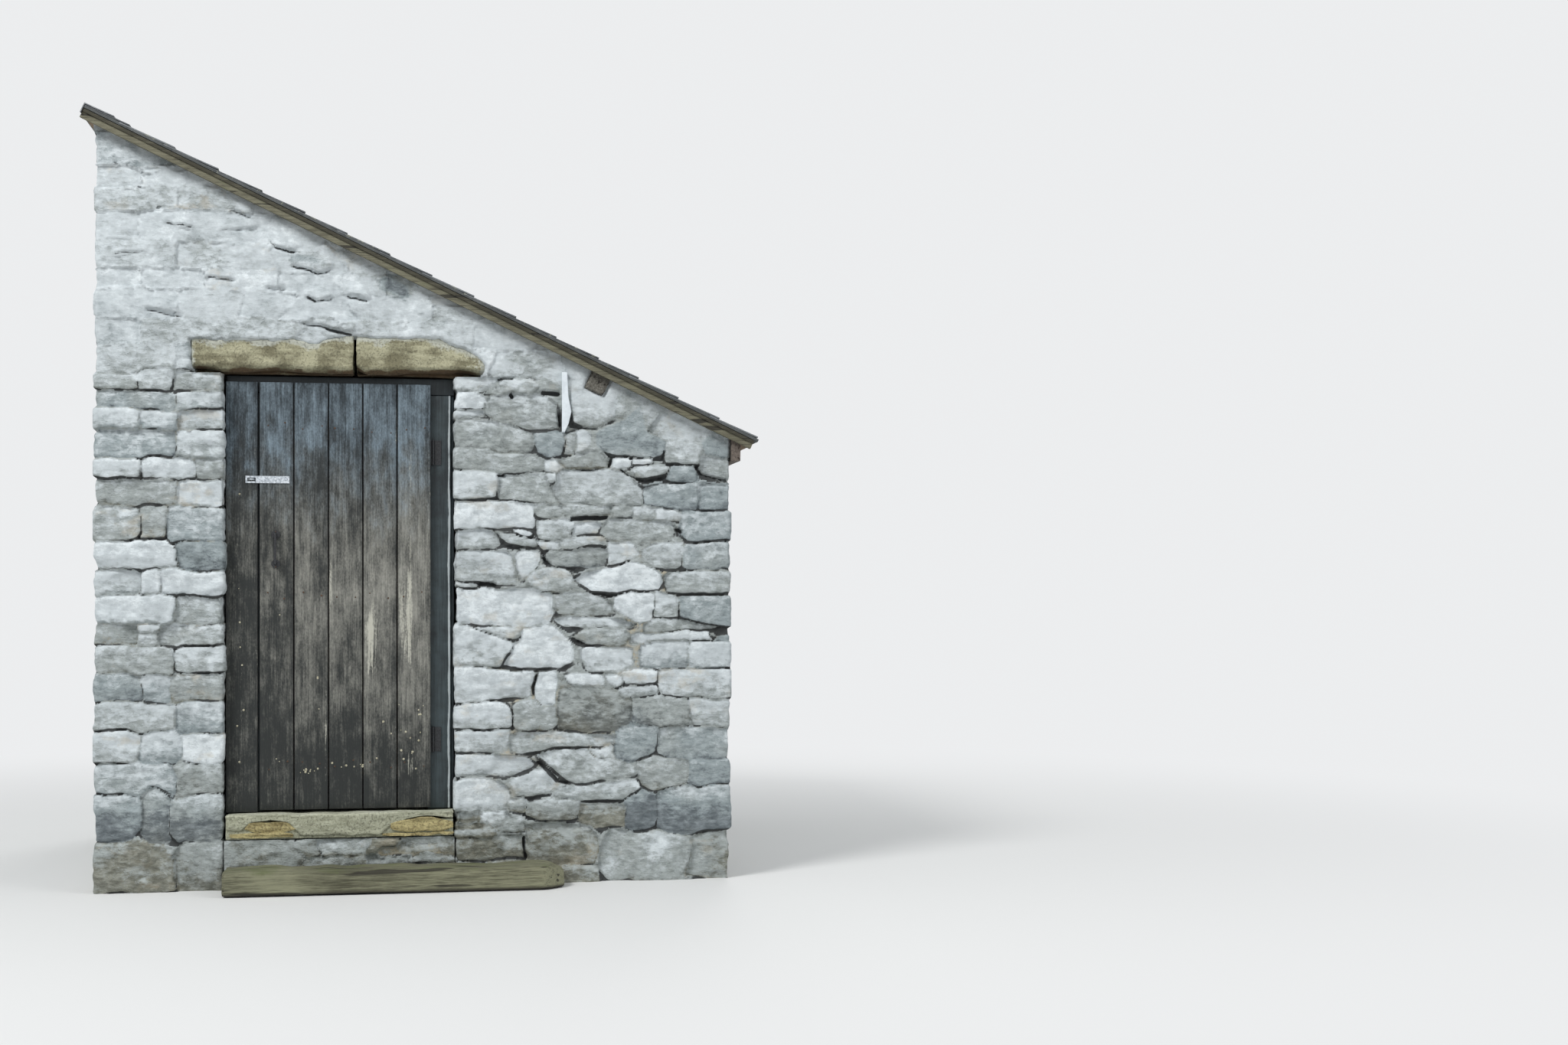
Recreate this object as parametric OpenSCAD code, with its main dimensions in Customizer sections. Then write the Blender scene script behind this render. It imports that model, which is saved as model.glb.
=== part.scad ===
// Small rubble stone garden store with a single-pitch slate roof and a boarded door.
// The front faces -Y, the low eaves are at +X, and the ground is Z = 0 under the floor's centre.

/* [Walls] */
// Width of the walls across the front
store_w = 2800; // [2400:10:3600]
// Depth of the walls from front to back
store_d = 2600; // [2000:10:4000]
// Thickness of the rubble walls
wall_t = 450; // [350:10:600]
// Height of the wall under the low eaves
low_wall_h = 2030; // [1850:5:2300]
// Roof pitch in degrees
pitch = 25.5; // [20:0.5:30]

/* [Doorway] */
// Clear width between the masonry jambs
opening_w = 1000; // [950:5:1200]
// Clear height from the sill to the lintel
opening_h = 1945; // [1850:5:2050]
// Distance from the low corner of the store to the nearer jamb
opening_from_corner = 1251; // [1000:1:1300]
// Height of the top of the sill
sill_top = 335; // [250:5:360]
// Thickness of the sill slab
sill_h = 115; // [100:5:150]
// Height of the stone lintel
lintel_h = 185; // [150:5:190]
// Front-to-back size of the stone lintel
lintel_d = 220; // [150:5:260]
// Length of lintel that bears on each jamb
lintel_bearing = 145; // [100:5:200]
// Height of the timber lintel behind the stone one
inner_lintel_h = 150; // [100:5:180]
// Distance of the crack in the lintel from the latch-side jamb
crack_from_jamb = 562; // [400:1:700]
// Width of the crack
crack_w = 3; // [1:0.5:6]
// Size of the chip at the foot of the crack
chip = 45; // [20:1:70]
// Length of the worn shoulder at the lintel's free end
shoulder_l = 150; // [80:5:200]
// Radius of the worn lower arris of the lintel
lintel_nose = 30; // [10:1:40]
// Length of the wedge stone under the hinge end of the sill
wedge_hinge_l = 270; // [200:5:350]
// Height of the wedge stone under the hinge end of the sill
wedge_hinge_h = 88; // [50:1:88]
// Length of the wedge stone under the latch end of the sill
wedge_latch_l = 330; // [200:5:350]
// Height of the wedge stone under the latch end of the sill
wedge_latch_h = 84; // [40:1:88]
// Front-to-back size of the wedge stones
wedge_d = 160; // [100:5:250]
// Front-to-back size of the sill slab
sill_d = 310; // [290:5:360]
// Distance that the sill stands proud of the wall
sill_proud = 10; // [2:1:30]

/* [Door frame] */
// Set-back of the outer face of the door from the wall face
door_setback = 80; // [60:5:140]
// Front-to-back size of the frame timbers
frame_d = 75; // [60:5:100]
// Width of the post that carries the hinges
hinge_post_w = 120; // [90:5:140]
// Width of the post beside the fixed board
latch_post_w = 160; // [130:5:180]
// Height of the frame head
frame_head_h = 75; // [60:5:90]

/* [Door] */
// Number of planks in the door
plank_n = 5; // [3:1:7]
// Thickness of the planks
plank_t = 25; // [20:1:30]
// Gap left between the planks
plank_gap = 3.5; // [1:0.5:6]
// Gap beside the hinge post, that the planks overlap
post_overlap = 15; // [10:1:25]
// Gap between the door and the fixed board
latch_gap = 8; // [6:1:12]
// Gap under the door
sill_gap = 8; // [6:1:20]
// Gap between the door's top and the lintel
head_gap = 30; // [20:1:40]
// Gap between the back of the planks and the frame
stop_gap = 5; // [5:0.5:8]
// Height of the ledges
ledge_h = 110; // [80:5:150]
// Thickness of the ledges and braces
ledge_t = 25; // [20:1:32]
// Width of the braces
brace_w = 90; // [60:5:120]
// Distance of the end ledges' centres from the ends of the door
ledge_inset = 200; // [150:5:300]
// Clearance between the ends of the ledges and the posts
ledge_gap = 8; // [6:1:20]
// Bevel along the top of each ledge
ledge_bevel = 10; // [4:1:15]
// Distance of each brace's foot from the hinge end of the ledges
brace_inset = 60; // [30:5:100]
// Chamfer on the outer arrises of the planks
plank_chamfer = 2.5; // [1:0.5:4]

/* [Hinges] */
// Height of each butt hinge
hinge_h = 110; // [80:5:150]
// Distance of each hinge's centre from the end of the door
hinge_inset = 305; // [250:5:400]
// Radius of the hinge knuckles
knuckle_r = 7; // [5:0.5:9]
// Radius of the hinge pins
hinge_pin_r = 3; // [2:0.5:4]
// Running clearance round the pins
pin_play = 0.05; // [0.02:0.01:0.1]
// Thickness of the hinge plates
plate_t = 2.5; // [2:0.5:4]
// Width of the hinge plates on the posts
plate_w = 36; // [25:1:50]
// Clearance between the knuckles and the plates
knuckle_play = 0.7; // [0.4:0.1:1.5]

/* [Latch] */
// Height of the hasp above the sill
hasp_above_sill = 1480; // [1200:5:1600]
// Length of the hasp strap that lies on the door
hasp_on_door = 130; // [90:5:200]
// Height of the hasp strap
hasp_h = 32; // [25:1:45]
// Thickness of the hasp strap
hasp_t = 3; // [2:0.5:4]
// Distance of the staple from the edge of the fixed board
staple_inset = 26; // [24:1:50]
// Distance of the handle from the latch edge of the door
handle_inset = 70; // [50:5:120]
// Height of the middle of the handle above the sill
handle_above_sill = 1170; // [900:5:1300]
// Length of the handle's grip
grip_l = 130; // [100:5:180]
// Radius of the handle's grip
grip_r = 6; // [5:0.5:9]
// Clear space behind the handle's grip
grip_space = 32; // [25:1:45]

/* [Roof] */
// Thickness of the roof boards
board_t = 25; // [18:1:32]
// Thickness of one slate
slate_t = 8; // [5:1:12]
// Nearest length of each course of slates that shows
slate_gauge = 204; // [150:1:260]
// Distance that the slates reach past the low wall
eaves_reach = 107; // [90:1:160]
// Distance that the slates reach past the high wall
top_reach = 45; // [30:1:100]
// Distance that the roof boards reach past the front and rear walls
verge_reach = 20; // [16:1:60]
// Thickness of the verge boards
verge_t = 25; // [18:1:32]
// Height of the verge boards, square to the slope
verge_h = 45; // [40:1:80]
// Height of the cover strip along the top of each verge board
strip_h = 18; // [10:1:24]
// Thickness of the cover strip
strip_t = 6; // [3:1:8]
// Distance that the slates reach past the verge boards
slate_overhang = 10; // [9:1:25]
// Length of the lead capping on the top course
cap_l = 130; // [80:5:140]
// Thickness of the lead capping
cap_t = 4; // [2:0.5:6]
// Number of purlins between the side walls
purlin_n = 2; // [1:1:2]
// Width of the purlins
purlin_w = 110; // [75:5:130]
// Depth of the purlins, square to the slope
purlin_h = 125; // [100:5:150]
// Distance from the inside of the low wall to the middle of the lowest purlin
first_purlin = 155; // [120:5:250]
// Distance between the purlins, across the store
purlin_pitch = 905; // [600:5:950]
// Distance that the purlins' ends stand proud of the walls
purlin_proud = 8; // [2:1:12]
// Width of the wall plates
wall_plate_w = 100; // [75:5:120]
// Depth of the wall plates
wall_plate_h = 75; // [50:5:90]
// Thickness of the board under the eaves
eaves_board_t = 45; // [25:1:60]
// Height of the board under the eaves
eaves_board_h = 95; // [80:1:120]

/* [Ground] */
// Thickness of the floor
floor_h = 150; // [100:5:180]
// Length of the step in front of the door
step_l = 1480; // [1200:5:1600]
// Distance that the step runs past the hinge-side jamb
step_past_jamb = 485; // [300:5:600]
// Radius of the worn top arris of the step
step_nose = 18; // [8:1:30]
// Front-to-back size of the step
step_d = 230; // [150:5:300]
// Height of the step
step_h = 120; // [80:5:150]

/* [Hidden] */

// Wall faces, all measured from the middle of the floor
half_w = store_w / 2;
half_d = store_d / 2;
front_y = -half_d;
inner_x = half_w - wall_t;
inner_y = half_d - wall_t;

// Doorway
jamb_right = half_w - opening_from_corner;
jamb_left = jamb_right - opening_w;
lintel_z = sill_top + opening_h;
crack_x = jamb_left + crack_from_jamb;
sill_z = sill_top - sill_h;
sill_nose = 12;

// Door and frame, with depths measured back from the front face
leaf_y = front_y + door_setback;
leaf_back = leaf_y + plank_t;
post_y = leaf_back + stop_gap;
hinge_post_x = jamb_right - hinge_post_w;
latch_post_x = jamb_left + latch_post_w;
leaf_right = hinge_post_x + post_overlap;
leaf_left = latch_post_x - post_overlap;
leaf_w = leaf_right - leaf_left;
leaf_z = sill_top + sill_gap;
leaf_top = lintel_z - head_gap;
leaf_h = leaf_top - leaf_z;
plank_w = (leaf_w - (plank_n - 1) * plank_gap) / plank_n;
ledge_x = latch_post_x + ledge_gap;
ledge_w = hinge_post_x - ledge_gap - ledge_x;
ledge_low_z = leaf_z + ledge_inset - ledge_h / 2;
ledge_high_z = leaf_top - ledge_inset - ledge_h / 2;
ledge_mid_z = (ledge_low_z + ledge_high_z) / 2;

// Hinge axis, clear of the door's edge and of the post
axis_gap = plate_t + knuckle_r + knuckle_play;
axis_x = leaf_right + axis_gap;
axis_y = post_y - axis_gap;
bore_r = hinge_pin_r + pin_play;
knuckle_n = 5;
knuckle_gap = 0.5;
hinge_low_z = leaf_z + hinge_inset - hinge_h / 2;
hinge_high_z = leaf_top - hinge_inset - hinge_h / 2;

// Hasp and staple
hasp_z = sill_top + hasp_above_sill;
hasp_play = 5;
hasp_tip = 8;
staple_wire_r = 3;
staple_w = 26;
staple_reach = 26;
staple_x = leaf_left - latch_gap - staple_inset;
slot_l = staple_w + 2 * hasp_play;
slot_h = 2 * staple_wire_r + 2 * hasp_play;
hasp_left = staple_x - slot_l / 2 - hasp_tip;
hasp_right = leaf_left + hasp_on_door;

// Handle
handle_x = leaf_left + handle_inset;
handle_z = sill_top + handle_above_sill;
pad_r = 19;
pad_t = 4;

// Roof, in a frame whose U runs up the slope from the eaves and whose V is square to it
eaves_x = half_w + eaves_reach;
slope_l = (store_w + eaves_reach + top_reach) / cos(pitch);
course_n = round(slope_l / slate_gauge);
gauge = slope_l / course_n;
tail_v = board_t + 3 * slate_t;
head_v = board_t + 2 * slate_t;
cover = 0.3;
roof_y = front_y - verge_reach;
roof_d = store_d + 2 * verge_reach;
overhang = verge_t + slate_overhang;
drip = 15;
$fn = 48;

function rake_z(x) = low_wall_h + (half_w - x) * tan(pitch);
function wall_top_z(x) = rake_z(x) - cover / cos(pitch);
function slate_v(u) = tail_v - (u / gauge - floor(u / gauge)) * (tail_v - head_v);
function slope_u(x) = (eaves_x - x) / cos(pitch);
function purlin_x(i) = inner_x - first_purlin - i * purlin_pitch;

// Draws an outline in the X-Z plane and runs it back from y for a depth d
module run_back(y, d) {
    translate([0, y + d, 0])
        rotate([90, 0, 0])
            linear_extrude(d)
                children();
}

// Places an outline drawn up the slope (U) and square to it (V) into the X-Z plane
module on_slope() {
    translate([eaves_x, rake_z(eaves_x)])
        mirror([1, 0])
            rotate(pitch)
                children();
}

module block(x0, y0, z0, w, d, h) {
    translate([x0, y0, z0])
        cube([w, d, h]);
}

// Outline of one purlin, with its top on the line of the wall tops
module purlin_outline(i) {
    on_slope()
        translate([slope_u(purlin_x(i)) - purlin_w / 2, -purlin_h])
            square([purlin_w, purlin_h]);
}

module wall_plate_outline(x) {
    on_slope()
        translate([slope_u(x) - wall_plate_w / 2, -wall_plate_h])
            square([wall_plate_w, wall_plate_h]);
}

// Outline of a stretch of wall under the raking top, with the purlin pockets cut in it
module raking_outline(x0, x1, z0) {
    difference() {
        polygon([[x0, z0], [x1, z0], [x1, wall_top_z(x1)], [x0, wall_top_z(x0)]]);
        for (i = [0 : purlin_n - 1])
            purlin_outline(i);
    }
}

module front_wall_left() {
    color("darkgray")
        block(-half_w, front_y, 0, jamb_left + half_w, wall_t, lintel_z);
}

module front_wall_right() {
    color("darkgray")
        run_back(front_y, wall_t)
            difference() {
                raking_outline(jamb_right, half_w, 0);
                translate([-half_w, lintel_z])
                    square([half_w + purlin_x(0), store_w]);
            }
}

// Masonry over the door, from the high corner to the lowest purlin, notched round the two lintels
module front_wall_top() {
    color("darkgray")
        difference() {
            run_back(front_y, wall_t)
                intersection() {
                    raking_outline(-half_w, half_w, 0);
                    translate([-half_w, lintel_z])
                        square([half_w + purlin_x(0), store_w]);
                }
            run_back(front_y - 1, lintel_d + 1)
                lintel_outline();
            block(jamb_left - lintel_bearing, front_y + lintel_d, lintel_z - 1,
                opening_w + 2 * lintel_bearing, wall_t - lintel_d + 1, inner_lintel_h + 1);
        }
}

module rear_wall() {
    color("darkgray")
        run_back(inner_y, wall_t)
            raking_outline(-half_w, half_w, 0);
}

module left_wall() {
    color("darkgray")
        run_back(-inner_y, 2 * inner_y)
            difference() {
                polygon([[-half_w, 0], [-inner_x, 0], [-inner_x, wall_top_z(-inner_x)], [-half_w, wall_top_z(-half_w)]]);
                wall_plate_outline(-half_w + wall_t / 2);
            }
}

module right_wall() {
    color("darkgray")
        run_back(-inner_y, 2 * inner_y)
            difference() {
                polygon([[inner_x, 0], [half_w, 0], [half_w, wall_top_z(half_w)], [inner_x, wall_top_z(inner_x)]]);
                wall_plate_outline(half_w - wall_t / 2);
            }
}

// Low course of stone under the sill
module door_footing() {
    color("gray")
        block(jamb_left, front_y, 0, opening_w, wall_t, sill_z);
}

// Outline of the wedge stone let into the sill's underside at one end
module wedge_outline(len, rise) {
    polygon([[0, 0], [len, 0], [len, rise * 0.55], [len * 0.35, rise], [0, rise * 0.7]]);
}

module wedge_outlines() {
    translate([jamb_right, sill_z])
        mirror([1, 0])
            wedge_outline(wedge_hinge_l, wedge_hinge_h);
    translate([jamb_left, sill_z])
        wedge_outline(wedge_latch_l, wedge_latch_h);
}

module door_sill() {
    color("lightgray")
        difference() {
            translate([jamb_left, front_y - sill_proud, sill_z])
                rotate([90, 0, 90])
                    linear_extrude(opening_w)
                        worn_section(0, sill_d, sill_h, sill_nose);
            run_back(front_y - sill_proud - 1, wedge_d + 1)
                wedge_outlines();
        }
}

module sill_wedges() {
    color("peru")
        run_back(front_y - sill_proud, wedge_d)
            wedge_outlines();
}

// Squared baulk with worn edges and a rounded free end
module front_step() {
    x1 = jamb_right + step_past_jamb;
    x0 = x1 - step_l;
    color("darkolivegreen")
        intersection() {
            translate([x0, front_y, 0])
                rotate([90, 0, 90])
                    linear_extrude(step_l)
                        worn_section(-step_d, 0, step_h, step_nose);
            linear_extrude(step_h)
                union() {
                    translate([x0, front_y - step_d])
                        square([step_l - step_d / 2, step_d]);
                    translate([x1 - step_d / 2, front_y - step_d / 2])
                        circle(r = step_d / 2);
                    translate([x1 - step_d, front_y - step_d / 2])
                        square([step_d, step_d / 2]);
                }
        }
}

// Section with its top front arris rounded to radius r, drawn in the Y-Z plane
module worn_section(y0, y1, h, r) {
    union() {
        translate([y0, 0])
            square([y1 - y0, h - r]);
        translate([y0 + r, 0])
            square([y1 - y0 - r, h]);
        translate([y0 + r, h - r])
            circle(r = r);
    }
}

module floor_slab() {
    color("silver")
        block(-inner_x, -inner_y, 0, 2 * inner_x, 2 * inner_y, floor_h);
}

// Face of the stone lintel, worn down at its free end
module lintel_outline() {
    x0 = jamb_left - lintel_bearing;
    x1 = jamb_right + lintel_bearing;
    polygon([
        [x0, lintel_z], [x1, lintel_z], [x1, lintel_z + lintel_h * 0.55],
        [x1 - shoulder_l * 0.4, lintel_z + lintel_h * 0.85], [x1 - shoulder_l, lintel_z + lintel_h],
        [x0, lintel_z + lintel_h]
    ]);
}

// The whole lintel, with its lower front arris worn round
module lintel_stone() {
    intersection() {
        run_back(front_y, lintel_d)
            lintel_outline();
        translate([jamb_left - lintel_bearing, front_y, lintel_z + lintel_h])
            mirror([0, 0, 1])
                rotate([90, 0, 90])
                    linear_extrude(opening_w + 2 * lintel_bearing)
                        worn_section(0, lintel_d, lintel_h, lintel_nose);
    }
}

module lintel_left() {
    color("tan")
        intersection() {
            lintel_stone();
            block(jamb_left - opening_w, front_y - 1, lintel_z - 1,
                crack_x - crack_w / 2 - jamb_left + opening_w, lintel_d + 2, lintel_h + 2);
        }
}

// The right half, with a chip broken out of its lower corner at the crack
module lintel_right() {
    color("tan")
        difference() {
            intersection() {
                lintel_stone();
                block(crack_x + crack_w / 2, front_y - 1, lintel_z - 1, opening_w, lintel_d + 2, lintel_h + 2);
            }
            run_back(front_y - 1, chip)
                polygon([[crack_x, lintel_z - 1], [crack_x + chip, lintel_z - 1], [crack_x, lintel_z + chip]]);
        }
}

module inner_lintel() {
    color("saddlebrown")
        block(jamb_left - lintel_bearing, front_y + lintel_d, lintel_z,
            opening_w + 2 * lintel_bearing, wall_t - lintel_d, inner_lintel_h);
}

module frame_post_left() {
    color("dimgray")
        block(jamb_left, post_y, sill_top, latch_post_w, frame_d, opening_h - frame_head_h);
}

module frame_post_right() {
    color("dimgray")
        block(hinge_post_x, post_y, sill_top, hinge_post_w, frame_d, opening_h - frame_head_h);
}

module frame_head() {
    color("dimgray")
        block(jamb_left, post_y, lintel_z - frame_head_h, opening_w, frame_d, frame_head_h);
}

// Fixed board on the latch side, packed off the post to lie in the plane of the door
module side_board() {
    color("gray")
        union() {
            block(jamb_left, leaf_y, sill_top, leaf_left - latch_gap - jamb_left, plank_t, leaf_top - sill_top);
            block(jamb_left, leaf_back, sill_top, leaf_left - latch_gap - jamb_left, stop_gap, leaf_top - sill_top);
        }
}

// Plank with its two outer arrises chamfered
module door_plank(i) {
    c = plank_chamfer;
    color("gray")
        translate([leaf_left + (i - 1) * (plank_w + plank_gap), leaf_y, leaf_z])
            linear_extrude(leaf_h)
                polygon([
                    [c, 0], [plank_w - c, 0], [plank_w, c],
                    [plank_w, plank_t], [0, plank_t], [0, c]
                ]);
}

// Ledge across the back of the planks, with its top bevelled to shed water
module door_ledge(z) {
    b = ledge_bevel;
    color("dimgray")
        translate([ledge_x, leaf_back, z])
            rotate([90, 0, 90])
                linear_extrude(ledge_w)
                    polygon([[0, 0], [ledge_t, 0], [ledge_t, ledge_h - b], [ledge_t - b, ledge_h], [0, ledge_h]]);
}

// Brace that rises from the hinge side of one ledge to the latch side of the next
module door_brace(z0, z1) {
    rise = z1 - z0;
    run = ledge_w * 0.72;
    foot = brace_w / sin(atan2(rise, run));
    x1 = ledge_x + ledge_w - brace_inset;
    color("dimgray")
        run_back(leaf_back, ledge_t)
            polygon([[x1, z0], [x1 - foot, z0], [x1 - foot - run, z1], [x1 - run, z1]]);
}

// Bow handle on two round pads
module door_handle() {
    reach = grip_space + grip_r;
    color("black")
        translate([handle_x, leaf_y, handle_z])
            union() {
                for (side = [-1, 1])
                    translate([0, 0, side * (grip_l / 2)])
                        rotate([90, 0, 0])
                            union() {
                                cylinder(r = pad_r, h = pad_t);
                                cylinder(r = grip_r, h = reach);
                                translate([0, 0, reach])
                                    sphere(r = grip_r);
                            }
                translate([0, -reach, -grip_l / 2])
                    cylinder(r = grip_r, h = grip_l);
            }
}

// Flat strap screwed to the door, slotted over the staple
module hasp_strap() {
    color("lightsteelblue")
        difference() {
            block(hasp_left, leaf_y - hasp_t, hasp_z - hasp_h / 2, hasp_right - hasp_left, hasp_t, hasp_h);
            block(staple_x - slot_l / 2, leaf_y - hasp_t - 1, hasp_z - slot_h / 2, slot_l, hasp_t + 2, slot_h);
        }
}

// Staple whose two legs stand in the fixed board
module hasp_staple() {
    leg_x = staple_w / 2 - staple_wire_r;
    color("lightsteelblue")
        translate([staple_x, leaf_y, hasp_z])
            union() {
                for (side = [-1, 1])
                    translate([side * leg_x, 0, 0])
                        rotate([90, 0, 0])
                            cylinder(r = staple_wire_r, h = staple_reach - staple_w / 2);
                translate([0, -(staple_reach - staple_w / 2), 0])
                    mirror([0, 1, 0])
                        rotate_extrude(angle = 180)
                            translate([leg_x, 0])
                                circle(r = staple_wire_r);
            }
}

// Every second knuckle of a hinge, from the first one given, each with a web to its plate
module knuckles(first, web_w, web_turn) {
    pitch_z = hinge_h / knuckle_n;
    for (k = [first : 2 : knuckle_n - 1])
        translate([0, 0, k * pitch_z + knuckle_gap / 2])
            union() {
                cylinder(r = knuckle_r, h = pitch_z - knuckle_gap);
                rotate(web_turn)
                    translate([0, -knuckle_r + plate_t, 0])
                        cube([web_w, plate_t, pitch_z - knuckle_gap]);
            }
}

// Half of the hinge that is screwed to the edge of the door
module hinge_leaf(z) {
    edge_w = plank_t - 2;
    color("black")
        difference() {
            translate([axis_x, axis_y, z])
                union() {
                    knuckles(1, axis_gap, 180);
                    translate([-axis_gap, leaf_y + 1 - axis_y, 0])
                        cube([plate_t, edge_w, hinge_h]);
                }
            translate([axis_x, axis_y, z - 1])
                cylinder(r = bore_r, h = hinge_h + 2);
        }
}

// Half of the hinge that is screwed to the post, with the pin fast in its knuckles
module hinge_plate(z) {
    head_h = 3;
    color("black")
        translate([axis_x, axis_y, z])
            union() {
                knuckles(0, axis_gap, 90);
                translate([0, axis_gap - plate_t, 0])
                    cube([plate_w, plate_t, hinge_h]);
                translate([0, 0, -head_h])
                    cylinder(r = hinge_pin_r, h = hinge_h + 2 * head_h);
            }
}

module wall_plate_low() {
    color("saddlebrown")
        run_back(-inner_y, 2 * inner_y)
            wall_plate_outline(half_w - wall_t / 2);
}

module wall_plate_high() {
    color("saddlebrown")
        run_back(-inner_y, 2 * inner_y)
            wall_plate_outline(-half_w + wall_t / 2);
}

module purlin(i) {
    color("saddlebrown")
        run_back(front_y - purlin_proud, store_d + 2 * purlin_proud)
            purlin_outline(i);
}

module roof_boards() {
    color("burlywood")
        run_back(roof_y, roof_d)
            on_slope()
                translate([drip, 0])
                    square([slope_l - drip, board_t]);
}

// Strip of height h down from the top of the roof boards, the length of the slope
module verge_outline(h) {
    on_slope()
        translate([drip, board_t - h])
            square([slope_l - drip, h]);
}

// Verge board with a cover strip along its top, on its outer side
module verge_board_front() {
    color("olive")
        union() {
            run_back(roof_y - verge_t, verge_t)
                verge_outline(verge_h);
            run_back(roof_y - verge_t - strip_t, strip_t)
                verge_outline(strip_h);
        }
}

module verge_board_rear() {
    color("olive")
        mirror([0, 1, 0])
            verge_board_front();
}

// Board against the low wall, bevelled to sit under the roof boards
module eaves_board() {
    x1 = half_w + eaves_board_t;
    color("sienna")
        run_back(roof_y, roof_d)
            polygon([
                [half_w, rake_z(x1) - eaves_board_h], [x1, rake_z(x1) - eaves_board_h],
                [x1, wall_top_z(x1)], [half_w, wall_top_z(half_w)]
            ]);
}

// Courses of slates as one saw-toothed skin, each tail three slates thick
module slate_courses() {
    steps = [for (i = [0 : course_n - 1], e = [0, 1]) [(i + e) * gauge, e == 0 ? tail_v : head_v]];
    color("slategray")
        run_back(roof_y - overhang, roof_d + 2 * overhang)
            on_slope()
                polygon(concat([[slope_l, board_t], [0, board_t]], steps));
}

// Lead over the top course, dressed down the ends of the boards
module ridge_capping() {
    u0 = slope_l - cap_l;
    low = slate_v(u0) + cover;
    high = head_v + cover;
    color("gray")
        run_back(roof_y - overhang, roof_d + 2 * overhang)
            on_slope()
                polygon([
                    [u0, low], [slope_l, high], [slope_l, 0],
                    [slope_l + cap_t, 0], [slope_l + cap_t, high + cap_t], [u0, low + cap_t]
                ]);
}

front_wall_left();
front_wall_right();
front_wall_top();
rear_wall();
left_wall();
right_wall();
door_footing();
door_sill();
sill_wedges();
front_step();
floor_slab();
lintel_left();
lintel_right();
inner_lintel();
frame_post_left();
frame_post_right();
frame_head();
side_board();
door_plank(1);  // door_plank_1
door_plank(2);  // door_plank_2
door_plank(3);  // door_plank_3
door_plank(4);  // door_plank_4
door_plank(5);  // door_plank_5
door_ledge(ledge_high_z);  // door_ledge_top
door_ledge(ledge_mid_z);  // door_ledge_middle
door_ledge(ledge_low_z);  // door_ledge_bottom
door_brace(ledge_mid_z + ledge_h, ledge_high_z);  // door_brace_upper
door_brace(ledge_low_z + ledge_h, ledge_mid_z);  // door_brace_lower
door_handle();
hasp_strap();
hasp_staple();
hinge_leaf(hinge_high_z);  // hinge_leaf_top
hinge_leaf(hinge_low_z);  // hinge_leaf_bottom
hinge_plate(hinge_high_z);  // hinge_plate_top
hinge_plate(hinge_low_z);  // hinge_plate_bottom
wall_plate_low();
wall_plate_high();
purlin(0);  // purlin_low
purlin(1);  // purlin_mid
roof_boards();
verge_board_front();
verge_board_rear();
eaves_board();
slate_courses();
ridge_capping();
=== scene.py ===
"""Looks of the small stone garden store: limewashed rubble walls, a cracked lintel, a worn
plank door and a slate roof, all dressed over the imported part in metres."""
import math

import bpy
import numpy as np
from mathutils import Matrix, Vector
from mathutils.geometry import convex_hull_2d


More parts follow.
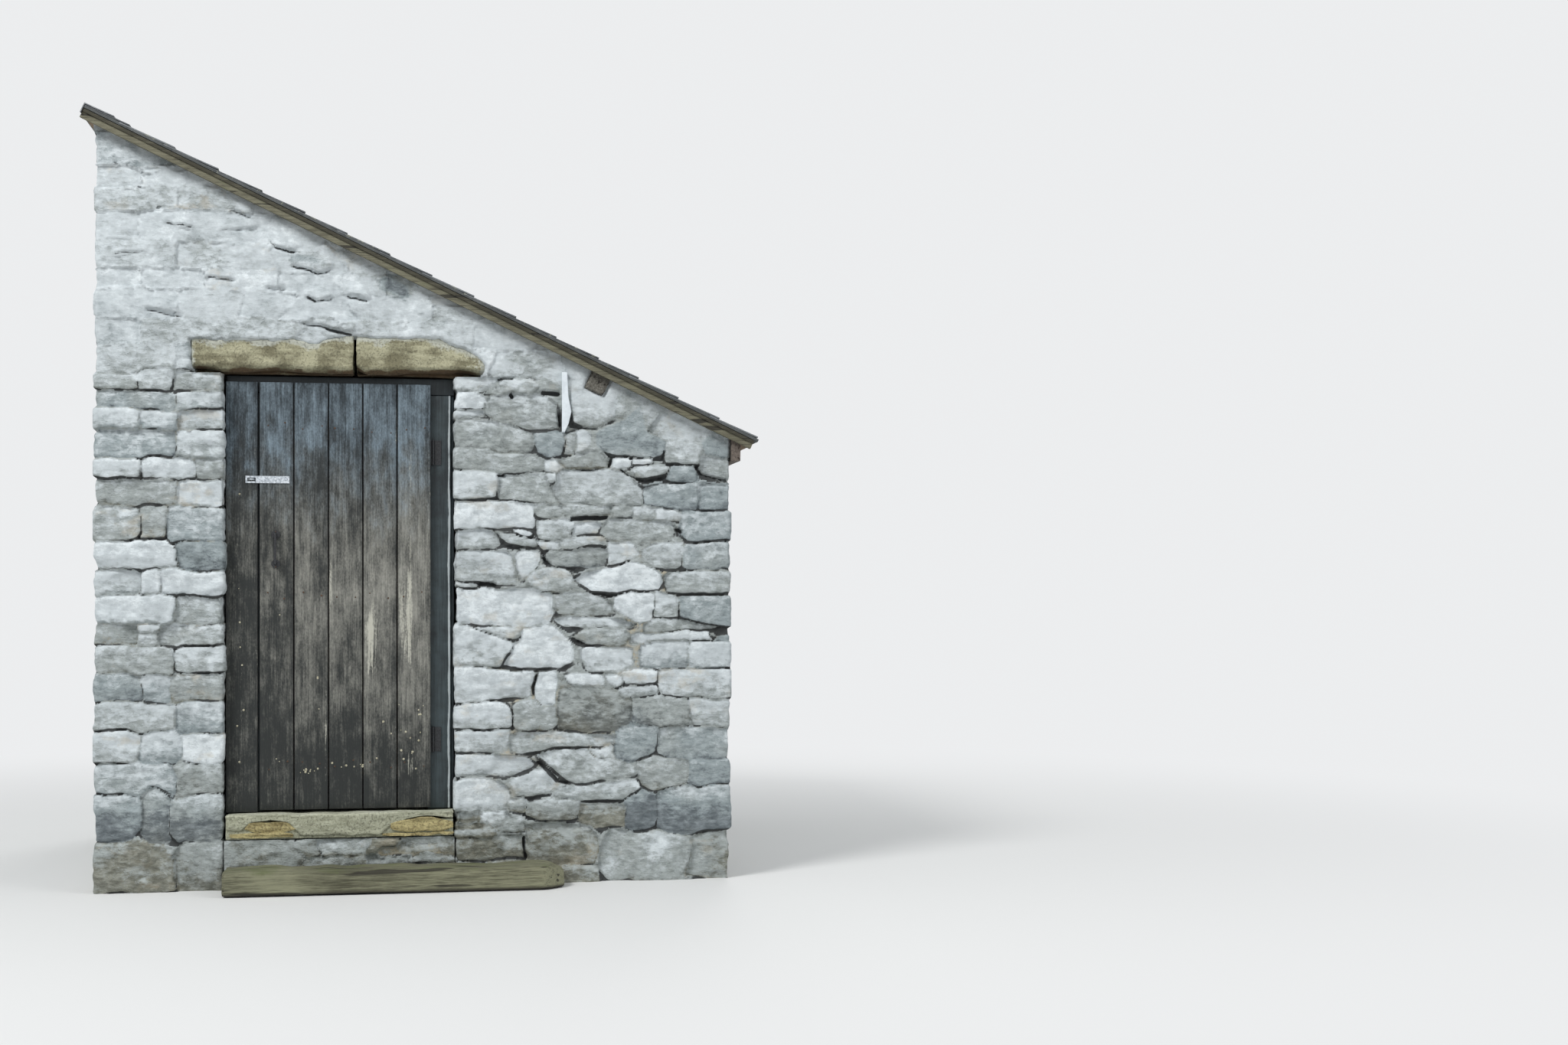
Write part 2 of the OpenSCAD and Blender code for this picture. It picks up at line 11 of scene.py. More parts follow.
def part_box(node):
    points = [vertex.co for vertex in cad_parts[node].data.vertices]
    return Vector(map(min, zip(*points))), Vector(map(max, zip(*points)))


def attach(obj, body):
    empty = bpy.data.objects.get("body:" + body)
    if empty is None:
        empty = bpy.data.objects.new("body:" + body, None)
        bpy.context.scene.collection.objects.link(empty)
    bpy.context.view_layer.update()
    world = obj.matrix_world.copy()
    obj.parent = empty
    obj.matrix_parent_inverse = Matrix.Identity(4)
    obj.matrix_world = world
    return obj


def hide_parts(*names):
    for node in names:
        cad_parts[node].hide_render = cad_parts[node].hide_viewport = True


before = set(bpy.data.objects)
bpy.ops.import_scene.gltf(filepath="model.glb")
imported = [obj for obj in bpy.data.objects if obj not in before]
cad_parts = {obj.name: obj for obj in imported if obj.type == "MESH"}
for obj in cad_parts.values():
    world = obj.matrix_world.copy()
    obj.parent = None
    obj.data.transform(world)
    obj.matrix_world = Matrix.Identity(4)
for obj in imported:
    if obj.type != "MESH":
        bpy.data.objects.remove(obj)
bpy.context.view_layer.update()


# The walls are limestone rubble, 450 mm thick, laid in rough courses with tight lime joints and
# squared stones at the corners and jambs. Many coats of limewash fill the upright joints, lie
# flush over the door and along the roof, and have weathered off the ground stones.
class Finish:
    """A socket of a material being made, which takes part in sums as a number does."""

    def __init__(self, tree, socket=None):
        self.tree = tree
        self.socket = socket

    def node(self, kind, settings, sockets, output=0):
        """Adds a node, makes its settings, then gives its sockets their values or links."""
        node = self.tree.nodes.new("ShaderNode" + kind)
        for name, value in settings.items():
            setattr(node, name, value)
        for key, value in sockets.items():
            if isinstance(value, Finish):
                self.tree.links.new(value.socket, node.inputs[key])
            else:
                node.inputs[key].default_value = value
        return Finish(self.tree, node.outputs[output] if node.outputs else None)

    def maths(self, operation, first, second):
        return self.node("Math", {"operation": operation}, {0: first, 1: second})

    def __add__(self, other):
        return self.maths("ADD", self, other)

    def __mul__(self, other):
        return self.maths("MULTIPLY", self, other)

    def __sub__(self, other):
        return self.maths("SUBTRACT", self, other)

    def __rsub__(self, other):
        return self.maths("SUBTRACT", other, self)

    __radd__ = __add__
    __rmul__ = __mul__

    def step(self, low, high):
        """Goes smoothly from 0 at low to 1 at high."""
        return self.node("MapRange", {"interpolation_type": "SMOOTHSTEP"},
                         {"Value": self, "From Min": low, "From Max": high})

    def tint(self, colour_0, colour_1):
        """Goes from one colour at 0 to another at 1."""
        pair = [c if isinstance(c, Finish) else (*c, 1) for c in (colour_0, colour_1)]
        return self.node("Mix", {"data_type": "RGBA"}, {0: self, 6: pair[0], 7: pair[1]}, 2)

    def stretched(self, x, y, z):
        return self.node("VectorMath", {"operation": "MULTIPLY"}, {0: self, 1: (x, y, z)})

    def cloud(self, size, detail=4, harshness=0.6):
        """Noise at this place, about 0.3 to 0.7, with lumps of this size in metres."""
        return self.node("TexNoise", {}, {"Vector": self, "Scale": 1 / size, "Detail": detail,
                                          "Roughness": harshness})

    def parts(self, kind="SeparateColor"):
        return [self.node(kind, {}, {0: self}, k) for k in range(3)]


def open_finish(name):
    """A new material and the object coordinates in it."""
    material = bpy.data.materials.new(name)
    material.use_nodes = True
    material.node_tree.nodes.clear()
    return material, Finish(material.node_tree).node("TexCoord", {}, {}, "Object")


def shades(place):
    """The three shades that the mesh carries at each point."""
    return place.node("Attribute", {"attribute_name": "shade"}, {}).parts()


def close_finish(material, place, colour, roughness, relief, depth, metallic=0.0):
    """Ends a material, with relief as a bump of this depth in metres."""
    bump = place.node("Bump", {}, {"Strength": 1.0, "Distance": depth, "Height": relief})
    shader = place.node("BsdfPrincipled", {}, {"Base Color": colour, "Roughness": roughness,
                                               "Metallic": metallic, "Normal": bump})
    place.node("OutputMaterial", {"is_active_output": True}, {"Surface": shader})
    return material


def rubble_finish():
    """Stone from blue-grey through brown to buff by the first shade, under lime by the second shade,
    with open joints, and painted shadow under stones, where the third is high."""
    material, place = open_finish("limewashed rubble")
    tone, wash, joints_and_painted_shadow = shades(place)
    broad = place.cloud(0.11, 3)
    beds = place.stretched(1, 1, 1.6).cloud(0.05, 3, 0.55)
    strokes = place.stretched(0.5, 0.5, 1.5).cloud(0.022, 4, 0.65)
    fine = place.cloud(0.012, 4, 0.65)
    grit = place.cloud(0.004, 3, 0.7)
    mottle = (beds * 0.6 + strokes * 0.6).step(0.42, 0.78)
    blue = mottle.tint((0.115, 0.136, 0.148), (0.25, 0.285, 0.30))
    brown = mottle.tint((0.135, 0.137, 0.110), (0.32, 0.325, 0.275))
    bare = tone.step(0.15, 0.65).tint(blue, brown)
    bare = tone.step(0.92, 0.99).tint(bare, (0.47, 0.415, 0.30))
    stain = place.cloud(0.2, 3).step(0.60, 0.70) * tone.step(0.3, 0.7)
    bare = (stain * 0.35).tint(bare, (0.29, 0.25, 0.17))
    veil = tone.step(0.08, 0.35).tint(mottle.tint((0.27, 0.315, 0.325), (0.385, 0.44, 0.455)),
                                      mottle.tint((0.29, 0.32, 0.312), (0.44, 0.478, 0.472)))
    thick = (strokes * 0.4 + broad * 0.6 + beds * 0.4).step(0.40, 1.00)
    thick = thick.tint((0.465, 0.51, 0.53), (0.71, 0.765, 0.785))
    # The heaviest wash is more even in colour
    thick = (wash.step(0.74, 0.84) * 0.45).tint(thick, (0.585, 0.635, 0.655))
    chips = place.stretched(1, 1, 1.4).cloud(0.030, 3).step(0.46, 0.53)
    # Lime covers the bare stone as a veil, then as a thick coat, and its crowns are the whitest
    uneven = (broad - 0.5) * 0.65 + (beds - 0.5) * 0.45 + (strokes - 0.5) * 0.50 + (fine - 0.5) * 0.25
    uneven = uneven + (chips - 0.5) * 0.12
    cover = wash + uneven * (1 - wash.step(0.76, 0.86) * 0.30)
    colour = cover.step(0.0, 0.42).tint(bare, veil)
    colour = cover.step(0.42, 0.92).tint(colour, thick)
    colour = (cover.step(0.89, 1.13) * 0.86).tint(colour, (0.83, 0.885, 0.905))
    warm = place.stretched(1, 1, 1.5).cloud(0.12, 3).step(0.54, 0.70) * tone.step(0.45, 0.8)
    colour = (warm * 0.40).tint(colour, (0.50, 0.44, 0.33))
    # Open joints and the painted shadow under stones go nearly black
    dark_joints_and_shadow = (joints_and_painted_shadow + (fine - 0.5) * 0.22).step(0.52, 0.66)
    colour = (dark_joints_and_shadow * 0.93).tint(colour, (0.030, 0.032, 0.032))
    relief = strokes * 0.4 + fine * 0.5 + grit * 0.35 + beds * 0.3 + chips * 0.2
    return close_finish(material, place, colour, 0.92, relief * (1 - cover.step(0.7, 1.0) * 0.4), 0.007)


def lattice(seed):
    """A smooth random field, about -1 to 1, whose lumps have the size that is asked for."""
    table = np.random.default_rng(seed).uniform(-1, 1, (32, 32, 32))

    def field(points, size):
        spot = np.asarray(points) / size
        cell = np.floor(spot).astype(int)
        part = spot - cell
        part = part * part * (3 - 2 * part)
        total = 0
        for corner in np.ndindex(2, 2, 2):
            share = np.prod(np.where(corner, part, 1 - part), axis=-1)
            i, j, k = np.moveaxis((cell + corner) % 32, -1, 0)
            total = total + share * table[i, j, k]
        return total

    return field


def smooth(value, low, high):
    """Goes smoothly from 0 at low to 1 at high."""
    t = np.clip((value - low) / (high - low), 0, 1)
    return t * t * (3 - 2 * t)


# Five fields, so that one kind of unevenness doesn't follow another, and the dice for all pieces
wave, ripple, lump, patch, strata = [lattice(seed) for seed in (3, 4, 5, 6, 8)]
draw = np.random.default_rng(21)

rear_low, rear_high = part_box("rear_wall")
half_w = rear_high.x
half_d = rear_high.y
inner_y = rear_low.y
inner_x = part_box("right_wall")[0].x
jamb_left, jamb_right = [corner.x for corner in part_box("door_sill")]
lintel_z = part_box("front_wall_left")[1].z
rake = (rear_high.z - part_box("right_wall")[1].z) / (half_w + inner_x)
girth = 4 * (half_w + half_d)


def wall_top(x):
    """Height of the raking wall tops."""
    return rear_high.z - (x + half_w) * rake


def shared_out(start, end, size):
    """Ends of the stones, of about this size, that fill a course from start to end."""
    cuts = np.cumsum(draw.uniform(0.55, 1.5, max(1, round((end - start) / size))))
    return start + (end - start) * np.append(0, cuts / cuts[-1])


# Stones seen beside the door and under the roof: how much lime each has over the rest, how brown
# its bare stone is, and its outline in centimetres from the middle of the floor and the ground
measured = [
    (0.10, 0.6, 15, 222.5, 15, 229.5, 27, 230, 35, 228.5, 34, 224, 26, 223),
    (0.00, 0.6, 29, 222, 35, 226.5, 48, 226.5, 52, 224, 50, 220, 42, 222.5, 34, 220),
    (0.42, 0.6, 15, 213.5, 15, 221, 25, 221, 28, 218, 26, 214),
    (0.15, 0.6, 15, 210.5, 15, 212.5, 27, 212.5, 28, 210),
    (-0.10, 0.5, 28, 211, 28, 218, 40, 222, 53, 220, 60, 216, 60.5, 206, 48, 205.5, 35, 209),
    (0.10, 0.6, 68, 208, 67.5, 226, 73, 223, 86, 220, 87, 212, 78, 206.5),
    (-0.17, 0.35, 16, 196, 15, 207, 27, 207.5, 40, 207, 46, 204, 49.5, 203, 50, 199, 48.5, 195.5),
    (-0.24, 0.1, 51.5, 203, 62.5, 203.5, 62.8, 194.5, 57, 193, 53, 195),
    (-0.12, 0.96, 63.5, 202.5, 68, 204, 68, 194.5, 63.5, 194.5),
    (0.10, 0.6, 68.6, 204.3, 72, 204.3, 74.5, 202, 74.2, 197, 71, 194.8, 68.6, 194.6),
    (-0.15, 0.4, 15, 194.5, 25, 195, 40, 194.5, 51, 192.5, 54, 191.5, 54, 186, 25, 185.7, 15, 186.5),
    (0.20, 0.6, 54.8, 191, 60, 190.8, 62.5, 188, 61, 186, 54.8, 186),
    (-0.26, 0.6, 62, 191, 67, 193, 74, 195, 80, 194, 83.5, 190, 80, 187.6, 66, 187.6),
    (0.10, 0.6, 15, 174.8, 15, 185.4, 34, 184.6, 35, 180, 33.5, 174.8),
    (-0.14, 0.4, 36, 184, 54.5, 184.8, 55, 180, 59, 175.5, 59.6, 172.2, 53, 171.6, 48, 173.2, 36, 173.6,
     34.6, 176),
    (0.16, 0.6, 55.8, 184.6, 60.2, 184.4, 59.5, 179.5, 56.4, 179.8),
    (0.02, 0.4, 57, 179, 61.5, 185.8, 72, 186.4, 82, 187.4, 88, 187, 93, 183.2, 99, 180, 100.6, 176, 99.5,
     172.4, 82, 172.2, 64, 171.4),
    (-0.14, 0.22, 80.5, 196.4, 85, 194.4, 95, 194.4, 108, 194, 110, 199, 107, 203, 98, 206, 88, 206.5, 80.5,
     203),
    (0.22, 0.6, 95, 190.8, 95.5, 193.2, 103, 193.4, 103.4, 191.2),
    (-0.05, 0.5, 95.2, 188.8, 98, 190.3, 108, 190, 111.5, 188.4, 110, 186, 106, 185.2, 100, 184.6, 96.4,
     185.8),
    (0.20, 0.97, 86, 188.5, 86, 192.5, 92, 192.8, 94, 190, 90, 188),
    (-0.30, 0.05, 112, 187, 113.2, 188.6, 122, 188.6, 123.6, 186, 123.6, 182, 115, 181.3, 111.8, 183),
    (-0.05, 0.4, 111, 190, 110, 199, 120, 201.5, 126, 199, 125, 190, 117, 190),
    (0.12, 0.6, 104, 206, 108, 212, 118, 210, 127, 204, 126, 200.5, 112, 200.5),
    (-0.22, 0.2, 127.5, 199.5, 133, 201.5, 139.5, 200, 139.5, 191, 135, 191.5, 129, 195),
    (-0.12, 0.4, 126.6, 192.6, 130, 192.2, 135, 190, 139.5, 190, 139.5, 181.8, 133, 182.3, 127, 184.8),
    (-0.24, 0.07, 101.4, 179.6, 123.8, 180, 124.2, 169.6, 110, 170.4, 107, 172, 101.4, 173),
    (-0.28, 0.07, 125.2, 180, 139.5, 180, 139.5, 169.4, 125.4, 169.4),
    (-0.25, 0.4, 85.8, 165.8, 86, 169.6, 94.6, 169.2, 94.8, 166),
    (-0.05, 0.5, 95.6, 166, 96, 170.4, 104, 170.2, 106, 167, 104, 165.2),
    (0.18, 0.6, 106.4, 164.8, 106.6, 168.8, 113, 168.8, 116, 166.4, 115.6, 164.4),
    (-0.10, 0.05, 117.6, 166, 120, 168.6, 139.5, 168.4, 139.5, 155.2, 120, 154.8, 117.2, 158),
    (-0.10, 0.4, 84, 163.8, 92, 164.8, 110, 163.4, 112.8, 161, 111, 156, 100, 155, 83, 155.2, 80.6, 158),
    (0.34, 0.6, 15, 159.8, 15, 170.8, 25, 171.8, 45, 171.4, 49.8, 170, 50.4, 162, 49, 159.6, 30, 160.2),
    (-0.16, 0.5, 51.2, 170, 53, 170.9, 61.8, 170.9, 62.4, 167, 60, 165.2, 53, 164.8, 51.2, 166.4),
    (-0.14, 0.5, 63.4, 170, 72, 170.8, 84.8, 170.6, 84.8, 167, 70, 166.4, 64, 166.2),
    (0.04, 0.5, 52, 164, 60, 164.2, 64.2, 164, 67.6, 161.4, 66, 157, 60, 155.4, 53, 155.4, 51.6, 158),
    (0.20, 0.985, 69, 161.5, 79.5, 162.2, 79, 157.6, 68, 157.4),
    (0.10, 0.6, 15, 157.6, 24, 158.4, 30, 157.8, 33, 155, 34, 152, 31, 150.2, 15, 150.2),
    (0.38, 0.6, 41.8, 158.6, 47.6, 158.8, 48, 156, 43, 155.8),
    (-0.02, 0.7, 35, 156, 42, 154.8, 50, 154.8, 50.2, 151.4, 44, 151.2, 37.6, 152),
    (0.10, 0.8, 52, 154.2, 61, 154.2, 62, 150.8, 55, 150.4),
    (0.02, 0.85, 63, 156, 70, 156.2, 82, 156.2, 82, 151.6, 64, 151.2),
    (0.08, 0.6, 15, 148.6, 37, 148.4, 39.6, 145, 41.6, 140.6, 41.8, 136.6, 15, 136.6),
    (0.12, 0.7, 15, 133.8, 15, 135.8, 24, 135.6, 25, 133.8),
    (0.34, 0.6, 42.6, 148, 44, 149, 52, 149, 52.4, 147, 51, 142.6, 48, 138.6, 45, 137.8, 43.6, 141),
    (-0.22, 0.3, 57, 149.8, 70, 150.6, 80, 150.9, 83.4, 149.4, 83, 144.4, 79, 144, 70, 142.6, 60, 142.6, 57,
     145),
    (0.10, 0.6, 84.4, 152.4, 94, 152.4, 97, 149, 94, 146, 88, 144, 84.4, 144),
    (-0.04, 0.7, 47.8, 137, 52, 140.4, 56, 141.6, 65, 140.4, 67.8, 138, 67.6, 134.4, 65, 132, 58, 131.4, 52,
     133, 49, 134.8),
    (0.42, 0.6, 70.4, 137.4, 73, 139.8, 80, 140.8, 88, 142, 94, 144.2, 98, 141.6, 105.6, 140.2, 108, 136,
     105.6, 131.8, 90, 131.9, 78, 131.9),
    (-0.02, 0.4, 100.4, 151, 105, 152.8, 118, 152.8, 118.5, 142.8, 110, 143.2, 101, 143.4, 99.8, 146),
    (-0.16, 0.2, 117, 152.8, 139.5, 152.4, 139.5, 142.2, 125, 142, 117, 142.8),
    (-0.08, 0.4, 109.8, 139, 112, 140.4, 139.5, 140.6, 139.5, 131, 120, 131.2, 111.8, 131.8, 112, 135),
    (0.46, 0.6, 87.6, 128.8, 95, 130.4, 104, 130, 105, 120, 98, 118.6, 90, 121.8, 86.8, 124),
    (0.00, 0.4, 104, 130, 117, 129, 117.5, 119.4, 105, 119.8),
    (-0.20, 0.1, 117, 129, 139.5, 128, 139.5, 118, 132, 117.2, 117.5, 119.4),
    (-0.14, 0.5, 100.4, 116.4, 105, 118.2, 115, 118.6, 125, 117, 132, 115.8, 128, 114.2, 115, 113.2, 105,
     112.4, 100.4, 113),
    (0.25, 0.6, 93, 111.6, 100, 112, 112, 111.8, 128, 112.6, 130, 109, 94, 108.6),
    (-0.06, 0.85, 60.8, 129, 66, 130.6, 75, 130.6, 80, 129, 85, 126, 85.6, 122.8, 82, 120.8, 70, 120.9, 62,
     121.8, 60.8, 125),
    (0.12, 0.6, 60.4, 119, 72, 119.6, 85, 119.4, 94.6, 116.8, 92, 115.4, 80, 116.6, 70, 115.4, 64, 116),
    (0.40, 0.7, 15, 131.8, 30, 132.6, 45, 133, 52, 132, 57.4, 130.4, 57.8, 120, 56, 117.2, 45, 117.8, 38,
     119.6, 15, 119.6),
    (0.14, 0.8, 15, 98.8, 15, 115, 20, 117.2, 25, 115, 32, 112.8, 39.6, 109.8, 40.6, 108, 37.6, 105, 35.6,
     102, 34.8, 99, 25, 98.4),
    (-0.06, 0.8, 26, 116.6, 35, 117.2, 44, 116.4, 44.4, 112, 42.6, 110.4, 40, 111.2, 32, 114.2),
    (0.36, 0.6, 45.6, 115.8, 58, 115.8, 61, 113.8, 65.8, 109, 67.6, 104, 67, 99.4, 62, 96.6, 50, 96.8, 43,
     98.2, 37.4, 99.4, 37.4, 102, 41.4, 105, 44.4, 109),
    (-0.20, 0.6, 69.4, 111, 72, 113.2, 80, 114.6, 88, 114.2, 95, 111, 90, 107.2, 80, 106.8, 74, 107.2, 71.4,
     109),
    (0.14, 0.5, 72.4, 104, 75, 105.6, 86, 105.2, 94, 105, 94, 96, 80, 95, 75.2, 95.4, 73.4, 98),
    (0.22, 0.6, 15, 82.6, 15, 97, 40, 96.2, 48.8, 95, 49.6, 90, 49.2, 84.8, 40, 83.6, 25, 82.6),
    (0.44, 0.6, 53, 93.8, 59.2, 94, 60.2, 90, 59.6, 82, 55, 78.6, 53, 83),
    (0.26, 0.6, 65, 93, 72, 94.2, 80, 93, 81, 89.4, 75, 89, 67, 90.2),
    (0.10, 0.7, 82.4, 93.6, 91, 93.8, 91, 88.4, 84, 88.4),
    (-0.50, 0.45, 63, 86, 68, 88, 75, 88.6, 83, 87, 85.2, 83, 85.2, 70, 80, 68.8, 62.2, 68.8, 61.8, 75),
    (0.20, 0.85, 15, 70.4, 15, 80.4, 25, 80.8, 34, 82, 38.2, 80, 40.2, 74, 39.8, 70.4, 30, 69.6),
    (-0.14, 0.6, 42, 79.6, 47, 82.6, 50, 82.6, 54, 78.4, 59.6, 79.6, 60, 72, 58, 68.8, 45, 68.8, 42, 70.4),
    (0.08, 0.8, 15, 59.2, 15, 68.6, 30, 68.8, 38, 68.4, 38.2, 63, 36.6, 59.4, 25, 58.6),
    (-0.08, 0.8, 39.8, 66, 45, 67.8, 60, 67.8, 75, 67.2, 85, 66.4, 86, 63, 80, 62, 65, 60.4, 55, 58.8, 45,
     57.8, 40.6, 59.4),
    (0.00, 0.5, 75.6, 60.6, 85, 61, 87, 57, 84, 55.4, 77, 56.4),
    (0.18, 0.8, 15, 49.6, 15, 55.4, 22, 57, 40, 56.6, 47.4, 55.2, 49.4, 52.4, 47, 49.6, 36, 49, 22, 48.6),
    (-0.06, 0.45, 53, 56.4, 60, 58.8, 73, 60, 74.6, 56.6, 80, 54, 86, 53.4, 86, 49.4, 80, 47, 70, 44.6, 65,
     45, 61, 48.8, 58, 52.8),
    (0.40, 0.6, 15, 34, 15, 45, 20, 46.6, 35, 46, 38.2, 44, 39.6, 38, 38.6, 34.4, 30, 33.2),
    (0.12, 0.7, 41, 46.4, 45, 48.8, 52, 50, 56, 49.6, 58.6, 46.6, 59.4, 44, 57, 40.6, 50, 39.4, 42, 40.6),
    (0.06, 0.3, 60.6, 42.2, 66, 43, 75, 44, 87, 46, 87, 38.4, 75, 36.8, 65, 37.6, 60, 39.2),
    (0.10, 0.6, 40, 37.6, 46, 38.4, 48, 36, 47, 31.6, 40.4, 33.2),
    (0.10, 0.5, 49, 36, 60, 36.8, 69, 35.4, 68.6, 28.8, 60, 27.4, 53, 27.8, 48.6, 30.4),
    (-0.20, 0.9, 70.4, 34.2, 87, 34.6, 87, 25.4, 78, 24.6, 70.4, 27.4),
    (0.40, 0.7, 27, 31.4, 38, 32, 39.4, 29.4, 33, 24.4, 28, 26.2),
    (0.35, 0.7, 34, 23.4, 41, 28.8, 45.4, 29, 46, 22.6, 41, 21.6),
    (0.00, 0.9, 15, 28.6, 15, 32.4, 25.6, 32, 26.6, 28.6),
    (-0.10, 0.9, 15, 24.6, 15, 27.4, 26.4, 27.4, 27, 25),
    (0.10, 0.9, 15, 20.8, 15, 23.6, 30, 23.6, 32, 20.8),
    (-0.05, 0.85, 15, 12, 15, 19.8, 30, 19.6, 44, 19.8, 45.2, 15, 44.8, 10.8, 30, 11.6),
    (0.10, 0.8, 47.8, 24, 60, 24.8, 75, 24.2, 78, 20, 79, 14, 77, 9.6, 60, 8.8, 47.4, 10.2),
    (-0.05, 0.9, 15, 6, 15, 10.8, 30, 10.6, 44, 9.8, 45, 6),
    (-0.10, 0.8, 15, 0, 15, 5, 33, 5, 34, 0),
    (0.00, 0.9, 35.4, 0, 35.4, 5, 46, 5, 57, 7.8, 58, 0),
    (-0.05, 0.8, 59.4, 0, 59, 7.8, 79, 8.2, 80, 0),
]
# Beds of the squared corner stones, which the other walls keep to; the height from which the
# stones above are the measured ones out to the corner; and how far to the right the measured ones
# reach in each course below it
beds = [0, 0.22, 0.42, 0.56, 0.70, 0.83, 0.96, 1.08, 1.18, 1.295, 1.413, 1.54, 1.69, 1.81, 1.905,
        2.03, 2.12, 2.20, lintel_z]
measured_z = 1.08
course_ends = (0.81, 0.91, 0.98, 0.87, 0.95, 0.89, 0.99)
while beds[-1] < rear_high.z:
    beds.append(beds[-1] + draw.uniform(0.085, 0.135))
stones = []


def lay_stone(u0, u1, z0, z1, lean_0=0.0, lean_1=0.0):
    """Adds a rough stone whose ends lean by so much, with its corners knocked off."""
    z0, z1 = z0 + draw.normal(0, 0.004), z1 + draw.normal(0, 0.004)
    off = np.minimum(draw.uniform(0.04, 0.34, (4, 2)) * (z1 - z0), 0.3 * (u1 - u0)) + 0.002
    corners = ((u0 - lean_0, z0, 1, 1), (u1 - lean_1, z0, -1, 1),
               (u1 + lean_1, z1, -1, -1), (u0 + lean_0, z1, 1, -1))
    outline = [(u + turn * way_u * off_u, z + (1 - turn) * way_z * off_z)
               for (u, z, way_u, way_z), (off_u, off_z) in zip(corners, off) for turn in (0, 1)]
    stones.append((draw.normal(0, 0.19), draw.uniform(0, 0.9), outline))


def lay_course(start, end, low, high, size=0.27):
    """Fills a stretch of a course, now and then with two thin stones or one that reaches higher."""
    ends = shared_out(start, end, size)
    leans = np.append(np.append(0, draw.uniform(-0.4, 0.4, max(len(ends) - 2, 0)) * (high - low)), 0)
    for a, b, lean_0, lean_1 in zip(ends, ends[1:], leans, leans[1:]):
        chance = draw.uniform()
        if chance < 0.16 and high - low > 0.09:
            middle = low + (high - low) * draw.uniform(0.35, 0.65)
            lay_stone(a, b, low, middle - 0.003, lean_0 / 2, lean_1 / 2)
            lay_stone(a, b, middle + 0.003, high, lean_0 / 2, lean_1 / 2)
        else:
            reach = draw.uniform(0.2, 0.5) * (high - low) if chance > 0.86 and b - a < 0.32 else 0
            lay_stone(a, b, low, high + reach, lean_0, lean_1)


# Each corner stone has a long arm and a short one, turned about from course to course
long_arm, short_arm = 0.34, 0.19
for k, (low, high) in enumerate(zip(beds, beds[1:])):
    before, after = (long_arm, short_arm) if k % 2 else (short_arm, long_arm)
    corners = [half_w, half_w + 2 * half_d, 3 * half_w + 2 * half_d, 3 * half_w + 4 * half_d]
    for corner, following in zip(corners, corners[1:]):
        if corner > half_w or high < measured_z + 0.01:
            lay_stone(corner - before, corner + after, low, high)
        lay_course(corner + after, following - before, low, high)
    lay_stone(corners[3] - before, corners[3] + after, low, high)
    if low > lintel_z - 0.01:
        lay_course(corners[3] + after, girth + half_w - before, low, high)
        continue
    left_over = half_w + jamb_left - after
    jamb = girth + jamb_left - (left_over if k % 2 == 0 else left_over * draw.uniform(0.35, 0.90))
    if k % 2:
        lay_course(corners[3] + after, jamb, low, high)
    lay_stone(jamb, girth + jamb_left + 0.35, low, high)
    if high < measured_z + 0.01:
        lay_course(girth + course_ends[k], girth + half_w - before, low, high)
for low, high in ((0, 0.065), (0.065, 0.15), (0.15, 0.22)):
    lay_course(girth + jamb_left, girth + jamb_right, low, high, 0.2)
# Stones whose far end isn't seen go on from there to the end of their course
last_seen = 0.87
for lime, tone, *outline in measured:
    outline = np.array(outline).reshape(-1, 2) / 100
    at_corner = outline[:, 0] > half_w - 0.01
    course = np.searchsorted(beds, outline[at_corner, 1].mean() if at_corner.any() else 0) - 1
    outline[at_corner, 0] = half_w + (0.18 if course % 2 else 0.33)
    outline[outline[:, 0] < jamb_right + 0.005, 0] = jamb_right - 0.35
    at_end = (outline[:, 0] > last_seen - 0.035) & (outline[:, 0] < last_seen + 0.03) & (outline[:, 1] < 0.93)
    if at_end.any():
        course = max(np.searchsorted(beds, outline[at_end, 1].mean()) - 1, 1)
        outline[at_end, 0] += course_ends[course] - last_seen
    stones.append((lime, tone, outline))

stone_wash, stone_tone = np.array([stone[:2] for stone in stones]).T.copy()
outlines = [np.array(stone[2]) for stone in stones]
outlines = [outline[convex_hull_2d(outline.tolist())] for outline in outlines]
corner_0 = np.array([outline.min(0) for outline in outlines])
corner_1 = np.array([outline.max(0) for outline in outlines])
stone_u, stone_z = (corner_0 + corner_1).T / 2
stone_a, stone_b = (corner_1 - corner_0).T / 2
stone_tone[stone_z < 0.25] = 0.45 + stone_tone[stone_z < 0.25] / 2
side_n = max(map(len, outlines))
side_u, side_z = np.zeros((2, len(stones), side_n))
side_far = np.full((len(stones), side_n), 9.0)
for k, outline in enumerate(outlines):
    outline = outline - (stone_u[k], stone_z[k])
    along = np.roll(outline, -1, 0) - outline
    facing = np.stack([along[:, 1], -along[:, 0]], -1) / np.hypot(*along.T)[:, None]
    facing *= np.sign(((outline - outline.mean(0)) * facing).sum(1))[:, None]
    side_u[k, :len(outline)], side_z[k, :len(outline)] = facing.T
    side_far[k, :len(outline)] = (outline * facing).sum(1)
stone_proud = np.clip(draw.normal(-0.004, 0.007, len(stones)), -0.017, 0.005)
stone_tilt = draw.normal(0, 0.03, (2, len(stones)))
stone_joint = draw.uniform(0.003, 0.006, len(stones))
stone_round = draw.uniform(0.002, 0.006, len(stones))
chip_way = draw.uniform(0, 2 * math.pi, (3, len(stones)))
chip_slope = draw.uniform(0.05, 0.28, (3, len(stones)))
chip_start = draw.uniform(0.2, 0.9, (3, len(stones)))


def from_centre(u, z, k):
    """Place within stone k, along and up."""
    return (u - stone_u[k] + girth / 2) % girth - girth / 2, z - stone_z[k]


